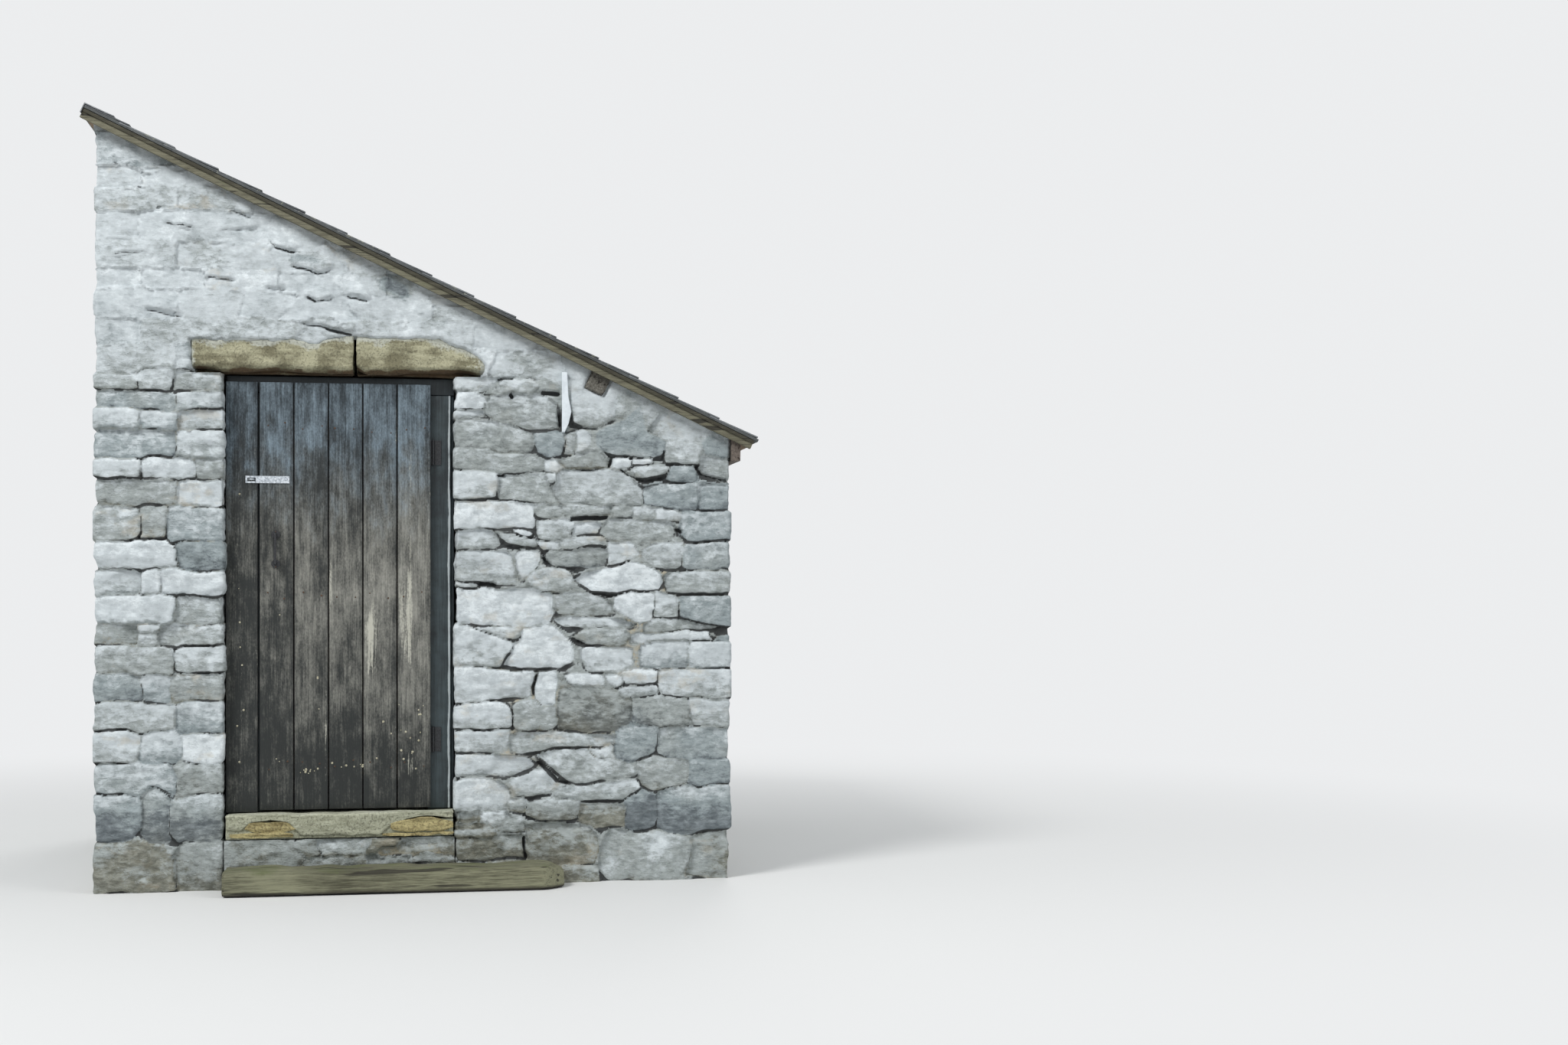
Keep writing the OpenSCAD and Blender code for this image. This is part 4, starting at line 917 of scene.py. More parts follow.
# The step is one long weathered baulk lying on the ground against the wall. Its top has worn
# hollow, its grain has opened, and its far end has rotted round.
def timber_finish(name, dark, pale, crack, moss=0.0, along="x"):
    """Weathered wood with open grain along one axis."""
    streak = 0.012
    material, place = open_finish(name)
    tone, green, dirt_and_painted_shade = shades(place)
    squeeze = {"x": (0.045, 1, 1), "y": (1, 0.045, 1), "z": (1, 1, 0.045)}[along]
    grain = place.stretched(*squeeze)
    lines = grain.cloud(streak, 5, 0.65)
    hair = grain.cloud(streak / 4, 4, 0.6)
    blotch = place.cloud(0.14, 4)
    splits = 1 - grain.stretched(0.55, 0.55, 0.55).cloud(streak, 2, 0.5).step(0.33, 0.37)
    mixed = lines * 0.8 + hair * 0.5 + blotch * 0.35 + (tone - 0.5) * 0.5
    colour = mixed.step(0.55, 1.05).tint(dark, pale)
    algae = (green + (blotch - 0.5) * 1.2 + (hair - 0.5) * 0.8).step(0.5, 0.9) * moss
    colour = algae.tint(colour, (0.085, 0.105, 0.035))
    colour = (splits * 0.85).tint(colour, crack)
    colour = dirt_and_painted_shade.step(0.15, 1.0).tint(colour, (0.03, 0.027, 0.022))
    return close_finish(material, place, colour, 0.86, lines * 0.6 + hair * 0.5 - splits * 0.9, 0.003)


baulk_wood = timber_finish("weathered baulk", (0.075, 0.072, 0.045), (0.27, 0.27, 0.175),
                           (0.024, 0.021, 0.015), 0.75)
step_low, step_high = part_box("front_step")
points, faces, _ = rough_box(step_low, step_high, (0.014, 0.016, 0.014), 0.018, 0.010, (0.5, 0.03, 0.025), 51)
far = smooth(points[:, 0], step_high.x - 0.13, step_high.x)
points[:, 1] = np.minimum(points[:, 1], step_high.y)
middle = (step_low.y + step_high.y) / 2
points[:, 1] = np.where(points[:, 1] < middle, points[:, 1] + 0.075 * far ** 2, points[:, 1])
sag = 0.012 * wave(points * (1, 0, 0) + (0, 3, 0), 0.35) + 0.005 * ripple(points * (1, 0.3, 0), 0.08) + 0.012
sag = np.clip(sag, 0, 0.03) * smooth(points[:, 2], 0.03, step_high.z)
points[:, 2] -= sag + 0.03 * far ** 2 * points[:, 2] / step_high.z
# The baulk is darker along its foot
low_edge = 1 - smooth(points[:, 2], 0.004, 0.03)
top_moss = smooth(points[:, 2], 0.07, 0.11) * 0.4 + 0.25
baulk = with_shades(points, faces, 0.5 + 0.4 * patch(points, 0.3), top_moss, 0.9 * low_edge)
make_piece("baulk_step", [baulk], baulk_wood, ("front_step",), sharp=60)


# The lintel is one long piece of yellow gritstone, bedded a little back in the limewash. It has
# cracked right through over the door and lost a corner there, and its lower arris is worn round.
grit_stone = slab_finish("worn gritstone", (0.21, 0.195, 0.12), (0.50, 0.48, 0.325), (0.10, 0.066, 0.034),
                         0.15)
lintel_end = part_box("lintel_right")[1].x
for k, node in enumerate(("lintel_left", "lintel_right")):
    low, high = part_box(node)
    points, faces, _ = rough_box(low, high, 0.009, 0.014, 0.012, (0.13, 0.08, 0.04), 61 + k)
    under = 1 - smooth(points[:, 2], low.z, low.z + 0.055)
    before = 1 - smooth(points[:, 1], low.y + 0.04, low.y + 0.08)
    bare = within_lintel(points[:, 0], points[:, 2])
    points[:, 1] += before * (0.028 * under ** 2 + 0.011 + 0.004 * strata(points, np.array((0.2, 0.2, 0.03))))
    points[:, 1] += before * 0.026 * (1 - smooth(bare, -0.012, 0.001))
    points[:, 2] += before * under * (0.006 + 0.009 * ripple(points * (1, 0, 0), 0.16))
    if node == "lintel_right":
        corner = np.maximum(0.060 - (points[:, 0] - low.x) - (points[:, 2] - low.z), 0) * before
        points[:, 1] += corner * 0.9
        points[:, 2] += corner * 0.5
    points = np.clip(points, low, high)
    rim = 1 - smooth(bare + 0.02 * patch(points, 0.1), 0.0, 0.050)
    stained = points[:, 0] + 0.03 * patch(points, 0.1)
    rim = np.maximum(rim, 0.7 * smooth(stained, lintel_end - 0.16, lintel_end))
    # The lower arris and underside are darker and carry less lime, partly as a brown stain and partly as
    # painted shade
    stain_and_painted_shade = 0.95 * smooth(under, 0.25, 0.85) + 0.25 * lump(points, 0.07) + 0.25 * patch(points + 2, 0.035)
    lime = 0.16 + 0.72 * rim - 0.14 * smooth(under, 0, 0.5)
    half = with_shades(points, faces, 0.5 + 1.1 * patch(points, 0.06), lime, stain_and_painted_shade)
    make_piece("lintel_half_" + "ab"[k], [half], grit_stone, (node,), sharp=50)


# Behind the stone lintel a rough-sawn beam carries the inner half of the wall. The purlins and
# wall plates are rough-sawn too, and on the front only the end of the low purlin shows.
cos_p, sin_p = math.cos(math.atan(rake)), math.sin(math.atan(rake))
deck_low, deck_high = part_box("roof_boards")
slates_low, slates_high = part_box("slate_courses")
board_t = 0.025
slates_t = 0.024
eaves_x = slates_high.x - (board_t + slates_t) * sin_p
eaves_z = wall_top(eaves_x)
slope_l = (deck_high.x - deck_low.x - board_t * sin_p) / cos_p


def on_slope(part):
    """Moves a part drawn up the slope, across and square to it, to the line of the wall tops."""
    up, across, out = part[0].T
    points = np.stack([eaves_x - up * cos_p + out * sin_p, across, eaves_z + up * sin_p + out * cos_p], -1)
    return points, part[1][:, ::-1], part[2]


def centre_up_slope(node):
    """How far up the slope the middle of a node lies."""
    low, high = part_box(node)
    middle = (low + high) / 2
    return (eaves_x - middle.x) * cos_p + (middle.z - eaves_z) * sin_p


sawn_wood = timber_finish("rough sawn beam", (0.060, 0.054, 0.044), (0.25, 0.24, 0.205),
                          (0.02, 0.016, 0.012), along="y")
beam_wood = timber_finish("rough sawn lintel beam", (0.07, 0.05, 0.032), (0.22, 0.16, 0.10),
                          (0.02, 0.015, 0.01))
beam = rough_box(beam_low, beam_high, (0.05, 0.05, 0.03), 0.006, 0.004, (0.4, 0.04, 0.04), 71)
make_piece("lintel_beam", [beam], beam_wood, ("inner_lintel",), sharp=50)
for k, (node, width, depth) in enumerate([("purlin_low", 0.11, 0.125), ("purlin_mid", 0.11, 0.125),
                                          ("wall_plate_low", 0.10, 0.075), ("wall_plate_high", 0.10, 0.075)]):
    low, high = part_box(node)
    u = centre_up_slope(node)
    covered = 0.022 if node == "purlin_mid" else 0
    points, faces, _ = rough_box((u - width / 2, low.y + covered, -depth), (u + width / 2, high.y, 0),
                                 (0.012, 0.06, 0.012), 0.007, 0.006, (0.03, 0.5, 0.03), 73 + k)
    if node == "purlin_low":
        trimmed = 1 - smooth(points[:, 1], low.y + 0.01, low.y + 0.10)
        points[:, 0] = u - width / 2 + (points[:, 0] - u + width / 2) * (1 - 0.2 * trimmed) - 0.012 * trimmed
        points[:, 2] *= 1 - 0.25 * trimmed
    from_arris = np.maximum(abs(points[:, 0] - u) - width / 2, abs(points[:, 2] + depth / 2) - depth / 2)
    beam = with_shades(points, faces, 0.5, 0.2, 0.10 + 0.35 * smooth(from_arris, -0.03, 0))
    make_piece(node + "_beam", [on_slope(beam)], sawn_wood, (node,), sharp=50)


# The door frame is square softwood, painted blue-black and nailed into the jambs. Limewash has
# run down the outer edge of the hinge post, which is rebated there against the jamb.
def paint_finish():
    material, place = open_finish("blue-black frame paint")
    tone, bare, limed = shades(place)
    grain = place.stretched(1, 1, 0.05)
    lines = grain.cloud(0.01, 4, 0.65)
    blotch = place.cloud(0.10, 5)
    colour = (lines * 0.6 + blotch * 0.8 + (tone - 0.5) * 0.5).step(0.45, 0.95)
    colour = colour.tint((0.013, 0.019, 0.022), (0.052, 0.073, 0.080))
    worn = (bare + (lines - 0.5) * 2.2 + (blotch - 0.5) * 0.8).step(0.62, 0.95)
    colour = worn.tint(colour, (0.14, 0.135, 0.12))
    limed = (limed + (blotch - 0.5) * 1.2 + (lines - 0.5) * 0.8).step(0.35, 0.75)
    colour = limed.tint(colour, (0.50, 0.55, 0.56))
    return close_finish(material, place, colour, 0.55, lines, 0.0015)


frame_paint = paint_finish()
for node in ("frame_post_left", "frame_post_right", "frame_head"):
    low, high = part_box(node)
    points, faces, _ = rough_box(low, high, (0.004 if node == "frame_post_right" else 0.012, 0.025, 0.03),
                                 0.004, 0.002, (0.03, 0.03, 0.3), 81)
    limed = 0
    # The head is painted darker than the posts, as the shade under the lintel
    tone = 0.5 + 0.3 * patch(points, 0.2) - 0.7 * (node == "frame_head")
    if node == "frame_post_right":
        from_edge = points[:, 0] - jamb_right
        limed = 0.9 * np.exp(-((from_edge + 0.023 + 0.003 * ripple(points, 0.1)) / 0.006) ** 2)
        points[:, 1] += 0.024 * smooth(from_edge, -0.017, -0.012) * (points[:, 1] < low.y + 0.03)
    post = with_shades(points, faces, np.maximum(tone, 0), 0.15 + 0.2 * patch(points + 2, 0.1), limed)
    make_piece(node + "_timber", [post], frame_paint, (node,), sharp=50)


# The door is five planks, nailed through from the front to three ledges and two braces. Its thin
# blue-black stain lasts at the head and foot, and has bleached to bare grey wood between. The
# upper part is painted bluer, as a reflection of the sky.
def plank_finish():
    material, place = open_finish("worn plank stain")
    worn, pale, dirt_and_painted_shade = shades(place)
    grain = place.stretched(1, 1, 0.035)
    lines = grain.cloud(0.010, 5, 0.7)
    hair = grain.cloud(0.003, 4, 0.65)
    blotch = place.stretched(1, 1, 0.45).cloud(0.05, 5, 0.65)
    speck = place.stretched(1, 1, 0.6).cloud(0.007, 3, 0.6)
    height = place.parts("SeparateXYZ")[2]
    amount = worn * 1.06 - 0.07 + (lines - 0.5) * 0.9 + (hair - 0.5) * 0.6
    amount = amount + (blotch - 0.5) * 1.3 + (speck - 0.5) * 0.6
    colour = amount.step(-0.05, 1.15).tint((0.018, 0.021, 0.020), (0.35, 0.345, 0.305))
    # The upper part of the door is tinted blue, as a painted reflection of the sky
    sky = (height + (blotch - 0.5) * 0.9).step(1.55, 2.10)
    painted_sky_reflection = place.node("Mix", {"data_type": "RGBA", "blend_type": "MULTIPLY"},
                      {0: sky, 6: colour, 7: (0.74, 0.97, 1.28, 1)}, 2)
    streak = (pale + (lines - 0.5) * 1.8 + (hair - 0.5) * 0.8 + (speck - 0.5) * 0.6).step(0.50, 0.95)
    colour = (streak * 0.9).tint(painted_sky_reflection, (0.56, 0.55, 0.47))
    # The third shade here is the painted shade at the planks' long edges, which goes nearly black
    colour = (dirt_and_painted_shade + (blotch - 0.5) * 0.3).step(0.2, 0.9).tint(colour, (0.014, 0.015, 0.015))
    return close_finish(material, place, colour, 0.75, lines * 0.7 + hair * 0.5 + blotch * 0.3, 0.0022)


def plank_wear(x, z, low, high, wear):
    """How far the stain has bleached, given at six heights, and more at the left of a board."""
    share = (x - low.x) / (high.x - low.x)
    across = 0.13 * (0.5 - share) - 0.12 * smooth(share, 0.78, 0.96)
    return np.interp(z, [0.38, 0.60, 0.90, 1.30, 1.70, 2.20], wear) * (1 + 1.2 * across)


plank_stain = plank_finish()
door_left, door_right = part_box("door_plank_1")[0].x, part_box("door_plank_5")[1].x
# The grid, rounding, wear and grain that all planks share
plank_wood = ((0.008, 0.0125, 0.030), 0.0025, 0.0016, (0.02, 0.03, 0.5))
# For each plank: its wear from the foot up, and its pale streaks, each with the distance from the
# left edge, the half width, the heights it runs between and how strong it is
planks = [((0.02, 0.06, 0.19, 0.30, 0.34, 0.38), ()),
          ((0.03, 0.11, 0.33, 0.46, 0.38, 0.38),
           ((0.138, 0.007, 0.34, 1.00, 0.6), (0.050, 0.008, 1.95, 2.20, 0.4))),
          ((0.02, 0.14, 0.33, 0.54, 0.36, 0.36),
           ((0.006, 0.008, 1.20, 1.55, 0.75), (0.060, 0.007, 1.98, 2.22, 0.55))),
          ((0.13, 0.24, 0.44, 0.58, 0.42, 0.46),
           ((0.034, 0.034, 0.90, 1.26, 0.84), (0.040, 0.040, 1.10, 1.55, 0.42),
            (0.138, 0.007, 0.60, 0.90, 0.6), (0.142, 0.007, 1.90, 2.25, 0.8))),
          ((0.17, 0.24, 0.46, 0.62, 0.54, 0.50),
           ((0.030, 0.034, 0.95, 1.45, 0.62), (0.055, 0.012, 1.00, 2.00, 0.50),
            (0.055, 0.024, 0.42, 0.70, 0.6), (0.142, 0.007, 0.90, 2.10, 0.5)))]
for k, (wear, streaks) in enumerate(planks, 1):
    low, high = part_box(f"door_plank_{k}")
    points, faces, _ = rough_box(low, high, *plank_wood, 90 + k)
    x, z = points[:, 0], points[:, 2]
    worn = plank_wear(x, z, low, high, wear) + 0.12 * patch(points, (0.05, 1, 0.20))
    worn = worn + 0.07 * lump(points, (0.018, 1, 0.3))
    pale = 0.12 * ripple(points, (0.03, 1, 0.6)) * smooth(z, 0.6, 1.0)
    for at, half, foot, head, strength in streaks:
        along = smooth(z + 0.08 * lump(points, (0.02, 1, 0.1)), foot - 0.06, foot + 0.10)
        along = along * (1 - smooth(z, head - 0.15, head + 0.05))
        pale = pale + strength * along * np.exp(-((x - low.x - at) / half) ** 2)
    # The faces darken close to each plank's long edges, as painted shade in the gaps between the planks
    rim = 1 - smooth(np.minimum(x - low.x, high.x - x), 0.0005, 0.006)
    worn = np.where(points[:, 1] > low.y + 0.012, 0.5, np.clip(worn, 0, 1))
    plank = with_shades(points, faces, worn, np.clip(pale, 0, 1), 0.6 * rim)
    make_piece(f"plank_{k}", [plank], plank_stain, (f"door_plank_{k}",), "door", 45)

low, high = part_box("side_board")
points, faces, _ = rough_box(low, high, *plank_wood, 97)
worn = plank_wear(points[:, 0], points[:, 2], low, high, (0.04, 0.07, 0.12, 0.20, 0.26, 0.32))
worn = worn + 0.10 * patch(points, (0.05, 1, 0.3))
board = with_shades(points, faces, np.clip(worn, 0, 1), 0.18 + 0.3 * lump(points, (0.03, 1, 0.5)), 0)
make_piece("latch_side_board", [board], plank_stain, ("side_board",), sharp=45)

ledge_wood = timber_finish("brown ledge wood", (0.055, 0.045, 0.036), (0.17, 0.14, 0.11),
                           (0.015, 0.012, 0.010))
door_ledges = ("door_ledge_top", "door_ledge_middle", "door_ledge_bottom")
bevel = 0.010
brace_l = 0.115
for node in (*door_ledges, "door_brace_upper", "door_brace_lower"):
    low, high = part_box(node)
    cell, seed = ((0.03, 0.009, 0.02), 101) if node in door_ledges else ((0.02, 0.0125, 0.02), 105)
    points, faces, shade = rough_box(low, high, cell, 0.003, 0.002, (0.3, 0.03, 0.03), seed)
    if node in door_ledges:
        points[:, 1] -= 0.8 * np.maximum(points[:, 2] - high.z + bevel, 0) * (points[:, 1] > low.y + 0.02)
    else:
        up = (points[:, 2] - low.z) / (high.z - low.z)
        across = (points[:, 0] - low.x) / (high.x - low.x)
        points[:, 0] = high.x - brace_l - up * (high.x - low.x - brace_l) + across * brace_l
    make_piece(node + "_batten", [(points, faces, shade)], ledge_wood, (node,), "door", 50)


# Pairs of rusty cut nails hold each plank to each ledge. Dabs of pale filler stop old holes,
# most of them low on the door.
def stud(x, y, z, radius, height, lean=0.0):
    """A low round head, standing out of the front and closed by its last, smallest ring."""
    sides = 10
    turn = np.arange(sides) * 2 * math.pi / sides
    ring = np.stack([np.cos(turn), np.zeros(sides), np.sin(turn)], -1)
    rows = [ring * radius + (0, 0.001, 0), ring * radius - (0, height * 0.55, 0),
            ring * radius * 0.6 - (0, height * 0.95, 0), ring * radius * 0.05 + (lean, -height, 0)]
    here = np.arange(sides)
    beside = (here + 1) % sides
    faces = [np.stack([here, beside, sides + beside, sides + here], -1) + sides * row for row in range(3)]
    return np.concatenate(rows) + (x, y, z), np.concatenate(faces), np.array((0.5, 0.5, 0.5))


def plain_finish(name, colour_0, colour_1, roughness, metallic=0.0, size=0.02, depth=0.0005):
    material, place = open_finish(name)
    spots = place.cloud(size, 5, 0.65)
    colour = spots.step(0.38, 0.62).tint(colour_0, colour_1)
    return close_finish(material, place, colour, roughness, spots, depth, metallic)


filler = plain_finish("pale filler", (0.34, 0.31, 0.21), (0.58, 0.55, 0.42), 0.8, size=0.006)
rusty = plain_finish("rusted nail", (0.035, 0.022, 0.016), (0.12, 0.065, 0.035), 0.7, size=0.004)
door_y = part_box("door_plank_1")[0].y
stud_y = door_y + 0.0012
nails, plugs = [], []
for k in range(1, 6):
    low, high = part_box(f"door_plank_{k}")
    for node in door_ledges:
        ledge_low, ledge_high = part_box(node)
        for side in (0.22, 0.78):
            x = max(low.x + side * (high.x - low.x), ledge_low.x + 0.012) + draw.uniform(-0.008, 0.008)
            z = ledge_low.z + (ledge_high.z - ledge_low.z) * draw.uniform(0.3, 0.7)
            nails.append(stud(x, stud_y, z, draw.uniform(0.003, 0.0045), 0.0022, draw.uniform(-0.001, 0.001)))
plug_h = 0.0016
# Patches of filler: where each group lies, how far it spreads, and how many dabs it has
for x, z, spread_x, spread_z, count in [(-0.51, 0.515, 0.030, 0.012, 12), (-0.32, 0.535, 0.050, 0.006, 7),
                                        (-0.05, 0.60, 0.035, 0.075, 13), (-0.008, 0.776, 0.012, 0.010, 3),
                                        (-0.46, 0.93, 0.006, 0.006, 2), (-0.44, 0.79, 0.004, 0.004, 1),
                                        (-0.164, 0.728, 0.006, 0.008, 2), (-0.62, 1.21, 0.003, 0.003, 1),
                                        (-0.64, 0.56, 0.012, 0.006, 2), (-0.20, 0.565, 0.004, 0.004, 1)]:
    for _ in range(count):
        at_x = min(max(x + draw.normal(0, spread_x), door_left + 0.01), door_right - 0.01)
        at_z = z + draw.normal(0, spread_z)
        plugs.append(stud(at_x, stud_y, at_z, draw.uniform(0.0022, 0.0055), plug_h))
make_piece("nail_plugs", plugs, filler, body="door")
make_piece("nail_heads", nails, rusty, body="door")

strip = [(jamb_left + draw.normal(0.065, 0.008), z) for z in (0.56, 0.72, 0.79, 0.99, 1.07, 1.18, 1.33, 1.75)]
make_piece("board_plugs", [stud(x, stud_y, z, draw.uniform(0.002, 0.005), plug_h) for x, z in strip],
           filler)


# The bow handle and the butt hinges are black-painted iron. The hasp and its staple are bright
# zinc, held by round-headed screws, and the handle by screws through its pads.
black_iron = plain_finish("black painted iron", (0.010, 0.011, 0.013), (0.032, 0.034, 0.038), 0.42,
                          size=0.006)
bright_zinc = plain_finish("bright zinc", (0.40, 0.44, 0.48), (0.74, 0.79, 0.84), 0.42, 0.7, 0.012, 0.0004)


def coat(node, material):
    """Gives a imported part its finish."""
    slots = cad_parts[node].data.materials
    slots.clear()
    slots.append(material)


for node in ("door_handle", "hinge_leaf_top", "hinge_leaf_bottom", "hinge_plate_top", "hinge_plate_bottom"):
    coat(node, black_iron)
for node in ("hasp_strap", "hasp_staple"):
    coat(node, bright_zinc)
hasp_low, hasp_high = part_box("hasp_strap")
hasp_z = (hasp_low.z + hasp_high.z) / 2
make_piece("hasp_screws", [stud(x, hasp_low.y + 0.0005, hasp_z, 0.0055, 0.003)
                           for x in (door_left + 0.025, door_left + 0.070, hasp_high.x - 0.014)],
           bright_zinc, body="door")
handle_low, handle_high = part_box("door_handle")
handle_x = (handle_low.x + handle_high.x) / 2
make_piece("handle_screws", [stud(handle_x, door_y - 0.0038, z, 0.0035, 0.0015)
                             for end, way in ((handle_low.z, 1), (handle_high.z, -1))
                             for z in (end + way * 0.006, end + way * 0.032)],
           rusty, body="door")


# A slip of white-painted wood is wedged upright under the verge, over a small ochre stone.
slip_white = plain_finish("white slip", (0.70, 0.76, 0.80), (0.80, 0.86, 0.90), 0.6, size=0.05, depth=0.0006)
slip_low, slip_high = Vector((0.628, -half_d - 0.016, 2.036)), Vector((0.671, -half_d + 0.012, 2.308))
points, faces, shade = rough_box(slip_low, slip_high, (0.006, 0.01, 0.012), 0.003, 0.001, 0.1, 115)
width = np.interp(points[:, 2], [2.036, 2.075, 2.130, 2.200, 2.308], [0.012, 0.030, 0.043, 0.029, 0.024])
points[:, 0] = slip_low.x + (points[:, 0] - slip_low.x) * width / (slip_high.x - slip_low.x)
make_piece("white_slip", [(points, faces, shade)], slip_white, sharp=50)


# The roof is sawn boards nailed up the slope over the purlins, weathered verge boards with a
# cover strip, a brown board along the eaves, and a trowelled concrete floor inside.
deck_wood = timber_finish("rough sawn boards", (0.12, 0.085, 0.055), (0.34, 0.25, 0.165), (0.03, 0.02, 0.014))
drip = 0.015
board_n = 17
ends = deck_low.y + (deck_high.y - deck_low.y) * np.linspace(0, 1, board_n + 1)
deck = [rough_box((drip, a + 0.001, 0), (drip + slope_l, b - 0.001, board_t), (0.10, 0.06, 0.0125),
                  0.002, 0.001, (0.4, 0.03, 0.03), 120 + k, (draw.uniform(0.25, 0.75), 0, 0))
        for k, (a, b) in enumerate(zip(ends, ends[1:]))]
make_piece("sarking_boards", [on_slope(part) for part in deck], deck_wood, ("roof_boards",),
           sharp=50)

verge_wood = timber_finish("weathered verge board", (0.050, 0.046, 0.030), (0.205, 0.195, 0.135),
                           (0.020, 0.018, 0.014), 0.5)
for node, side in (("verge_board_front", -1), ("verge_board_rear", 1)):
    low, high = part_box(node)
    y0, y1 = (low.y + 0.006, high.y) if side < 0 else (low.y, high.y - 0.006)
    board = rough_box((drip, y0, -0.020), (drip + slope_l, y1, board_t), (0.02, 0.0125, 0.011), 0.003, 0.004,
                      (0.5, 0.03, 0.02), 141, (0.62, 0.42, 0))
    strip_y = (low.y, low.y + 0.008) if side < 0 else (high.y - 0.008, high.y)
    strip = rough_box((drip, strip_y[0], board_t - 0.018), (drip + slope_l, strip_y[1], board_t - 0.001),
                      (0.02, 0.004, 0.006), 0.002, 0.002, (0.3, 0.02, 0.02), 143, (0.05, 0.30, 0.35))
    make_piece(node + "_timber", [on_slope(board), on_slope(strip)], verge_wood, (node,),
               sharp=50)

eaves_wood = timber_finish("brown eaves board", (0.075, 0.060, 0.050), (0.24, 0.200, 0.168),
                           (0.03, 0.018, 0.012), 0.3, "y")
low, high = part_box("eaves_board")
points, faces, shade = rough_box(low, high, (0.02, 0.05, 0.02), 0.004, 0.004, (0.03, 0.4, 0.03), 145,
                                 (0.5, 0.2, 0.1))
drop = (points[:, 0] - low.x) * rake
points[:, 2] = low.z + (points[:, 2] - low.z) * (1 - drop / (high.z - low.z))
make_piece("eaves_timber", [(points, faces, shade)], eaves_wood, ("eaves_board",), sharp=50)

coat("floor_slab", plain_finish("trowelled concrete", (0.22, 0.215, 0.20), (0.38, 0.375, 0.355), 0.85,
                                size=0.09, depth=0.002))


# The slates are riven and of mixed widths, and lie in lapped courses with broken joints over a
# dark bed. Dull sheet lead covers the top course and folds down over the board ends.
def slate_finish():
    material, place = open_finish("riven slate")
    tone, lichen, dirt_and_painted_shade = shades(place)
    cleft = place.cloud(0.06, 6, 0.6)
    fine = place.cloud(0.008, 4, 0.7)
    dull = (tone * 0.7 + (cleft - 0.5) * 1.2 + (fine - 0.5) * 0.6).step(-0.1, 0.9)
    colour = dull.tint((0.060, 0.066, 0.072), (0.20, 0.215, 0.225))
    spots = place.cloud(0.022, 5, 0.6)
    colour = ((spots + lichen * 0.10).step(0.65, 0.71) * 0.55).tint(colour, (0.32, 0.33, 0.26))
    colour = (dirt_and_painted_shade.step(0.2, 1.0) * 0.8).tint(colour, (0.035, 0.04, 0.022))
    return close_finish(material, place, colour, 0.62, cleft + fine * 0.25, 0.004)


slate_t = 0.008
course_n = 16
slope_top = slope_l + drip
gauge = slope_top / course_n
bed, riven = [], []
for k in range(course_n):
    start, end = k * gauge, (k + 1) * gauge
    bed.append(rough_box((start, slates_low.y + 0.003, board_t),
                         (end, slates_high.y - 0.003, board_t + 0.0125),
                         (0.2, 0.4, 0.02), 0.0005, 0.0005, 1, 150, (0.2, 0, 0.5)))
    ends = shared_out(slates_low.y, slates_high.y, 0.26)
    for j, (a, b) in enumerate(zip(ends, ends[1:])):
        tail = start + draw.uniform(0.0, 0.005) + (0.001 if k == 0 else -0.004 * draw.uniform())
        head = min(end + 0.045, slope_top)
        points, faces, _ = rough_box((tail, a + 0.0012, 0), (head, b - 0.0012, slate_t),
                                     (0.035, 0.045, 0.008), 0.0025, 0.0016, 0.05, 200 + 40 * k + j)
        ragged = 0.0025 * lump(points * (0, 1, 0) + (k, j, 0), 0.02) + (0.0025 if k == 0 else -0.0025)
        points[:, 0] += ragged * (points[:, 0] < tail + 0.01)
        fall = (points[:, 0] - start) / gauge * slate_t
        points[:, 2] += board_t + 2 * slate_t - fall + draw.uniform(-0.0012, 0)
        mossy = 0.5 * (1 - smooth(points[:, 0] - tail, 0, 0.02)) * draw.uniform(0.2, 1)
        riven.append(with_shades(points, faces, draw.uniform(0.1, 0.9), draw.uniform(), mossy))
slate = slate_finish()
make_piece("slates", [on_slope(part) for part in bed + riven], slate, ("slate_courses",), sharp=40)
coat("ridge_capping", plain_finish("dull sheet lead", (0.17, 0.18, 0.19), (0.32, 0.33, 0.34), 0.6, 0.3,
                                   0.05, 0.004))


# The setting is a wide pale floor that goes over into a pale surround, three large soft lamps and
# an even sky. The surround is what the camera and the metal see, and gives no more light for it.
def seen(tree):
    """1 where the camera, a reflection or a view through something meets this, and else 0."""
    camera, glossy, through = [Finish(tree).node("LightPath", {}, {}, f"Is {kind} Ray")
                               for kind in ("Camera", "Glossy", "Transmission")]
    kinds = camera + glossy + through
    return kinds.maths("MINIMUM", kinds, 1.0)


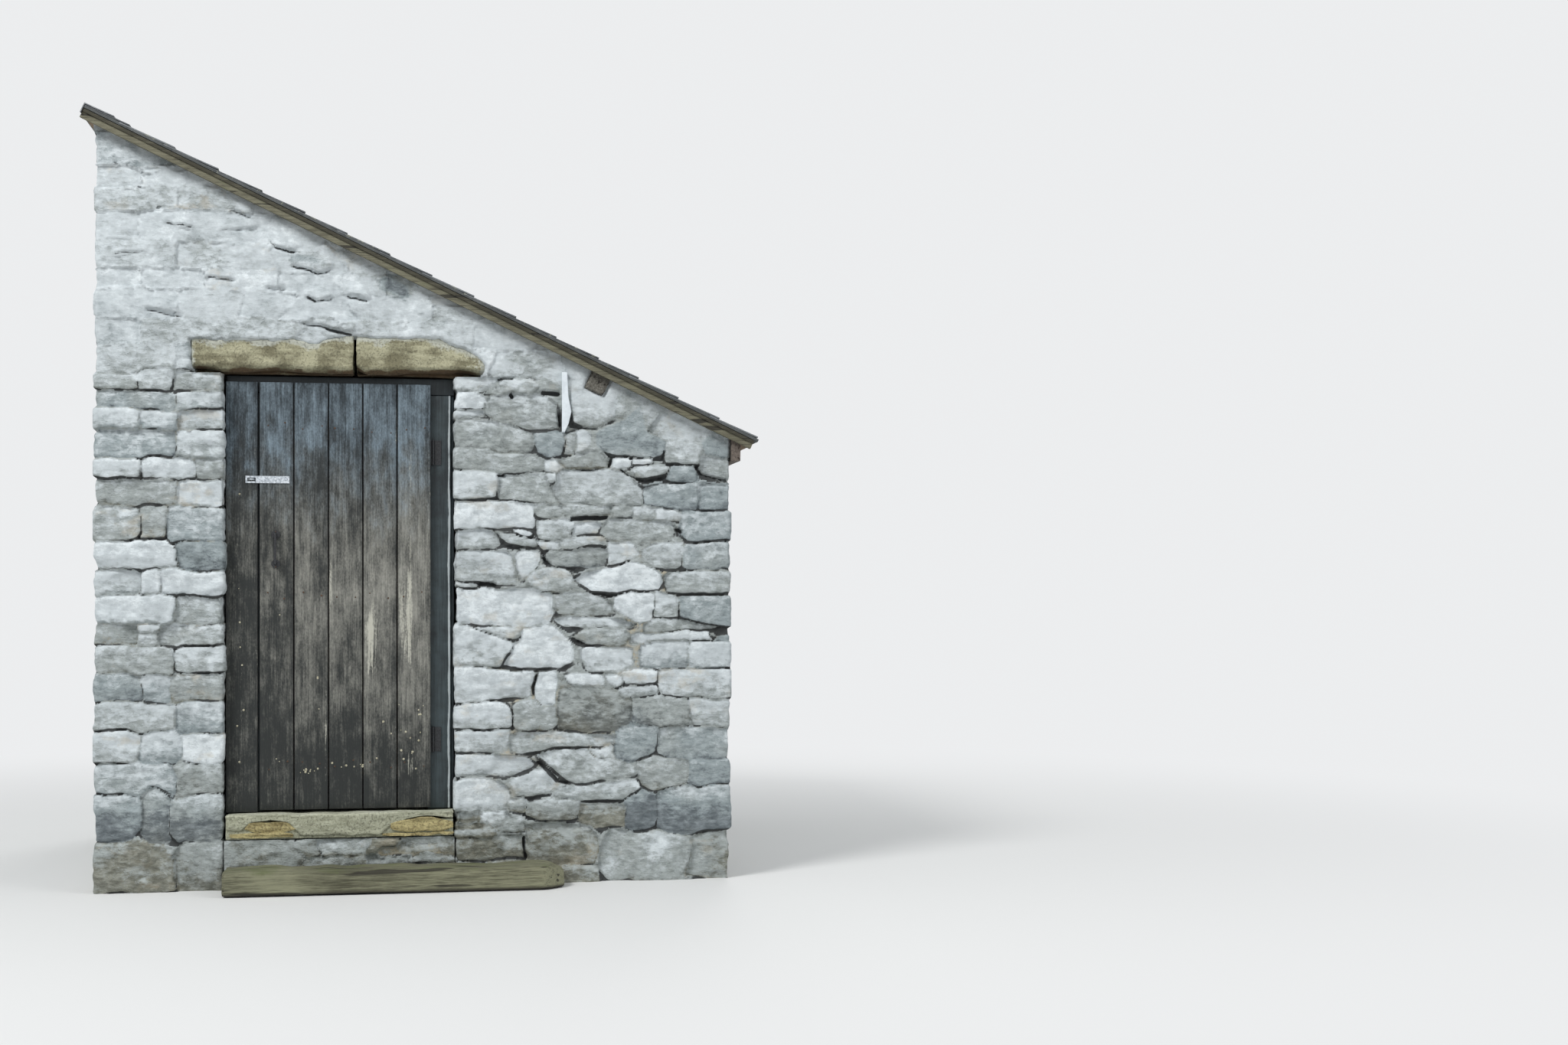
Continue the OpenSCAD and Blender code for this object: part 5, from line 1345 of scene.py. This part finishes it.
surround = (0.84, 0.85, 0.86, 1)
sky_light = 0.46
material, place = open_finish("pale floor")
middle = place.node("BsdfPrincipled", {}, {"Base Color": (0.80, 0.80, 0.79, 1), "Roughness": 0.95})
glow = seen(material.node_tree) * (1 - sky_light) + sky_light
outer = place.node("Emission", {}, {"Color": surround, "Strength": glow})
away = place.node("VectorMath", {"operation": "LENGTH"}, {0: place}, 1)
place.node("OutputMaterial", {"is_active_output": True},
           {"Surface": place.node("MixShader", {}, {0: away.step(2.2, 7.5), 1: middle, 2: outer})})
floor_r = 60.0
mesh = bpy.data.meshes.new("studio_floor")
mesh.from_pydata([(floor_r * x, floor_r * y, 0) for x, y in ((-1, -1), (1, -1), (1, 1), (-1, 1))],
                 [], [(0, 1, 2, 3)])
mesh.materials.append(material)
floor = bpy.data.objects.new("studio_floor", mesh)
bpy.context.collection.objects.link(floor)


def lamp(name, place, aim, size, power):
    light = bpy.data.lights.new(name, "AREA")
    light.shape = "DISK"
    light.size = size
    light.energy = power
    holder = bpy.data.objects.new(name, light)
    holder.location = place
    holder.rotation_euler = (Vector(aim) - Vector(place)).to_track_quat("-Z", "Y").to_euler()
    holder.visible_camera = False
    bpy.context.collection.objects.link(holder)


lamp("key lamp", (-5.0, -6.8, 9.3), (0, -0.5, 1.2), 3.6, 740)
lamp("fill lamp", (7.0, -7.0, 5.0), (0, 0, 1.2), 5.0, 180)
lamp("back lamp", (3.0, 10.0, 7.5), (0, 0, 1.2), 5.0, 380)
world = bpy.data.worlds.new("even sky")
world.use_nodes = True
world.node_tree.nodes.clear()
sky = Finish(world.node_tree)
looked_at = seen(world.node_tree)
colour = looked_at.tint((0.93, 0.97, 1.0), surround[:3])
light = sky.node("Background", {}, {"Color": colour, "Strength": looked_at * (1 - sky_light) + sky_light})
sky.node("OutputWorld", {"is_active_output": True}, {"Surface": light})
bpy.context.scene.world = world

# The camera stands where the photograph was taken, before the door at eye level and turned to
# the right of it, so that level lines fall away to the right as they do there.
eye = bpy.data.cameras.new("viewpoint")
eye.lens = 46
eye.shift_y = 0.045
viewpoint = bpy.data.objects.new("viewpoint", eye)
viewpoint.location = (0.044, -half_d - 9.1, 1.31)
viewpoint.rotation_euler = (math.radians(90), 0, math.radians(-10))
bpy.context.collection.objects.link(viewpoint)
bpy.context.scene.camera = viewpoint
bpy.context.scene.view_settings.view_transform = "Standard"
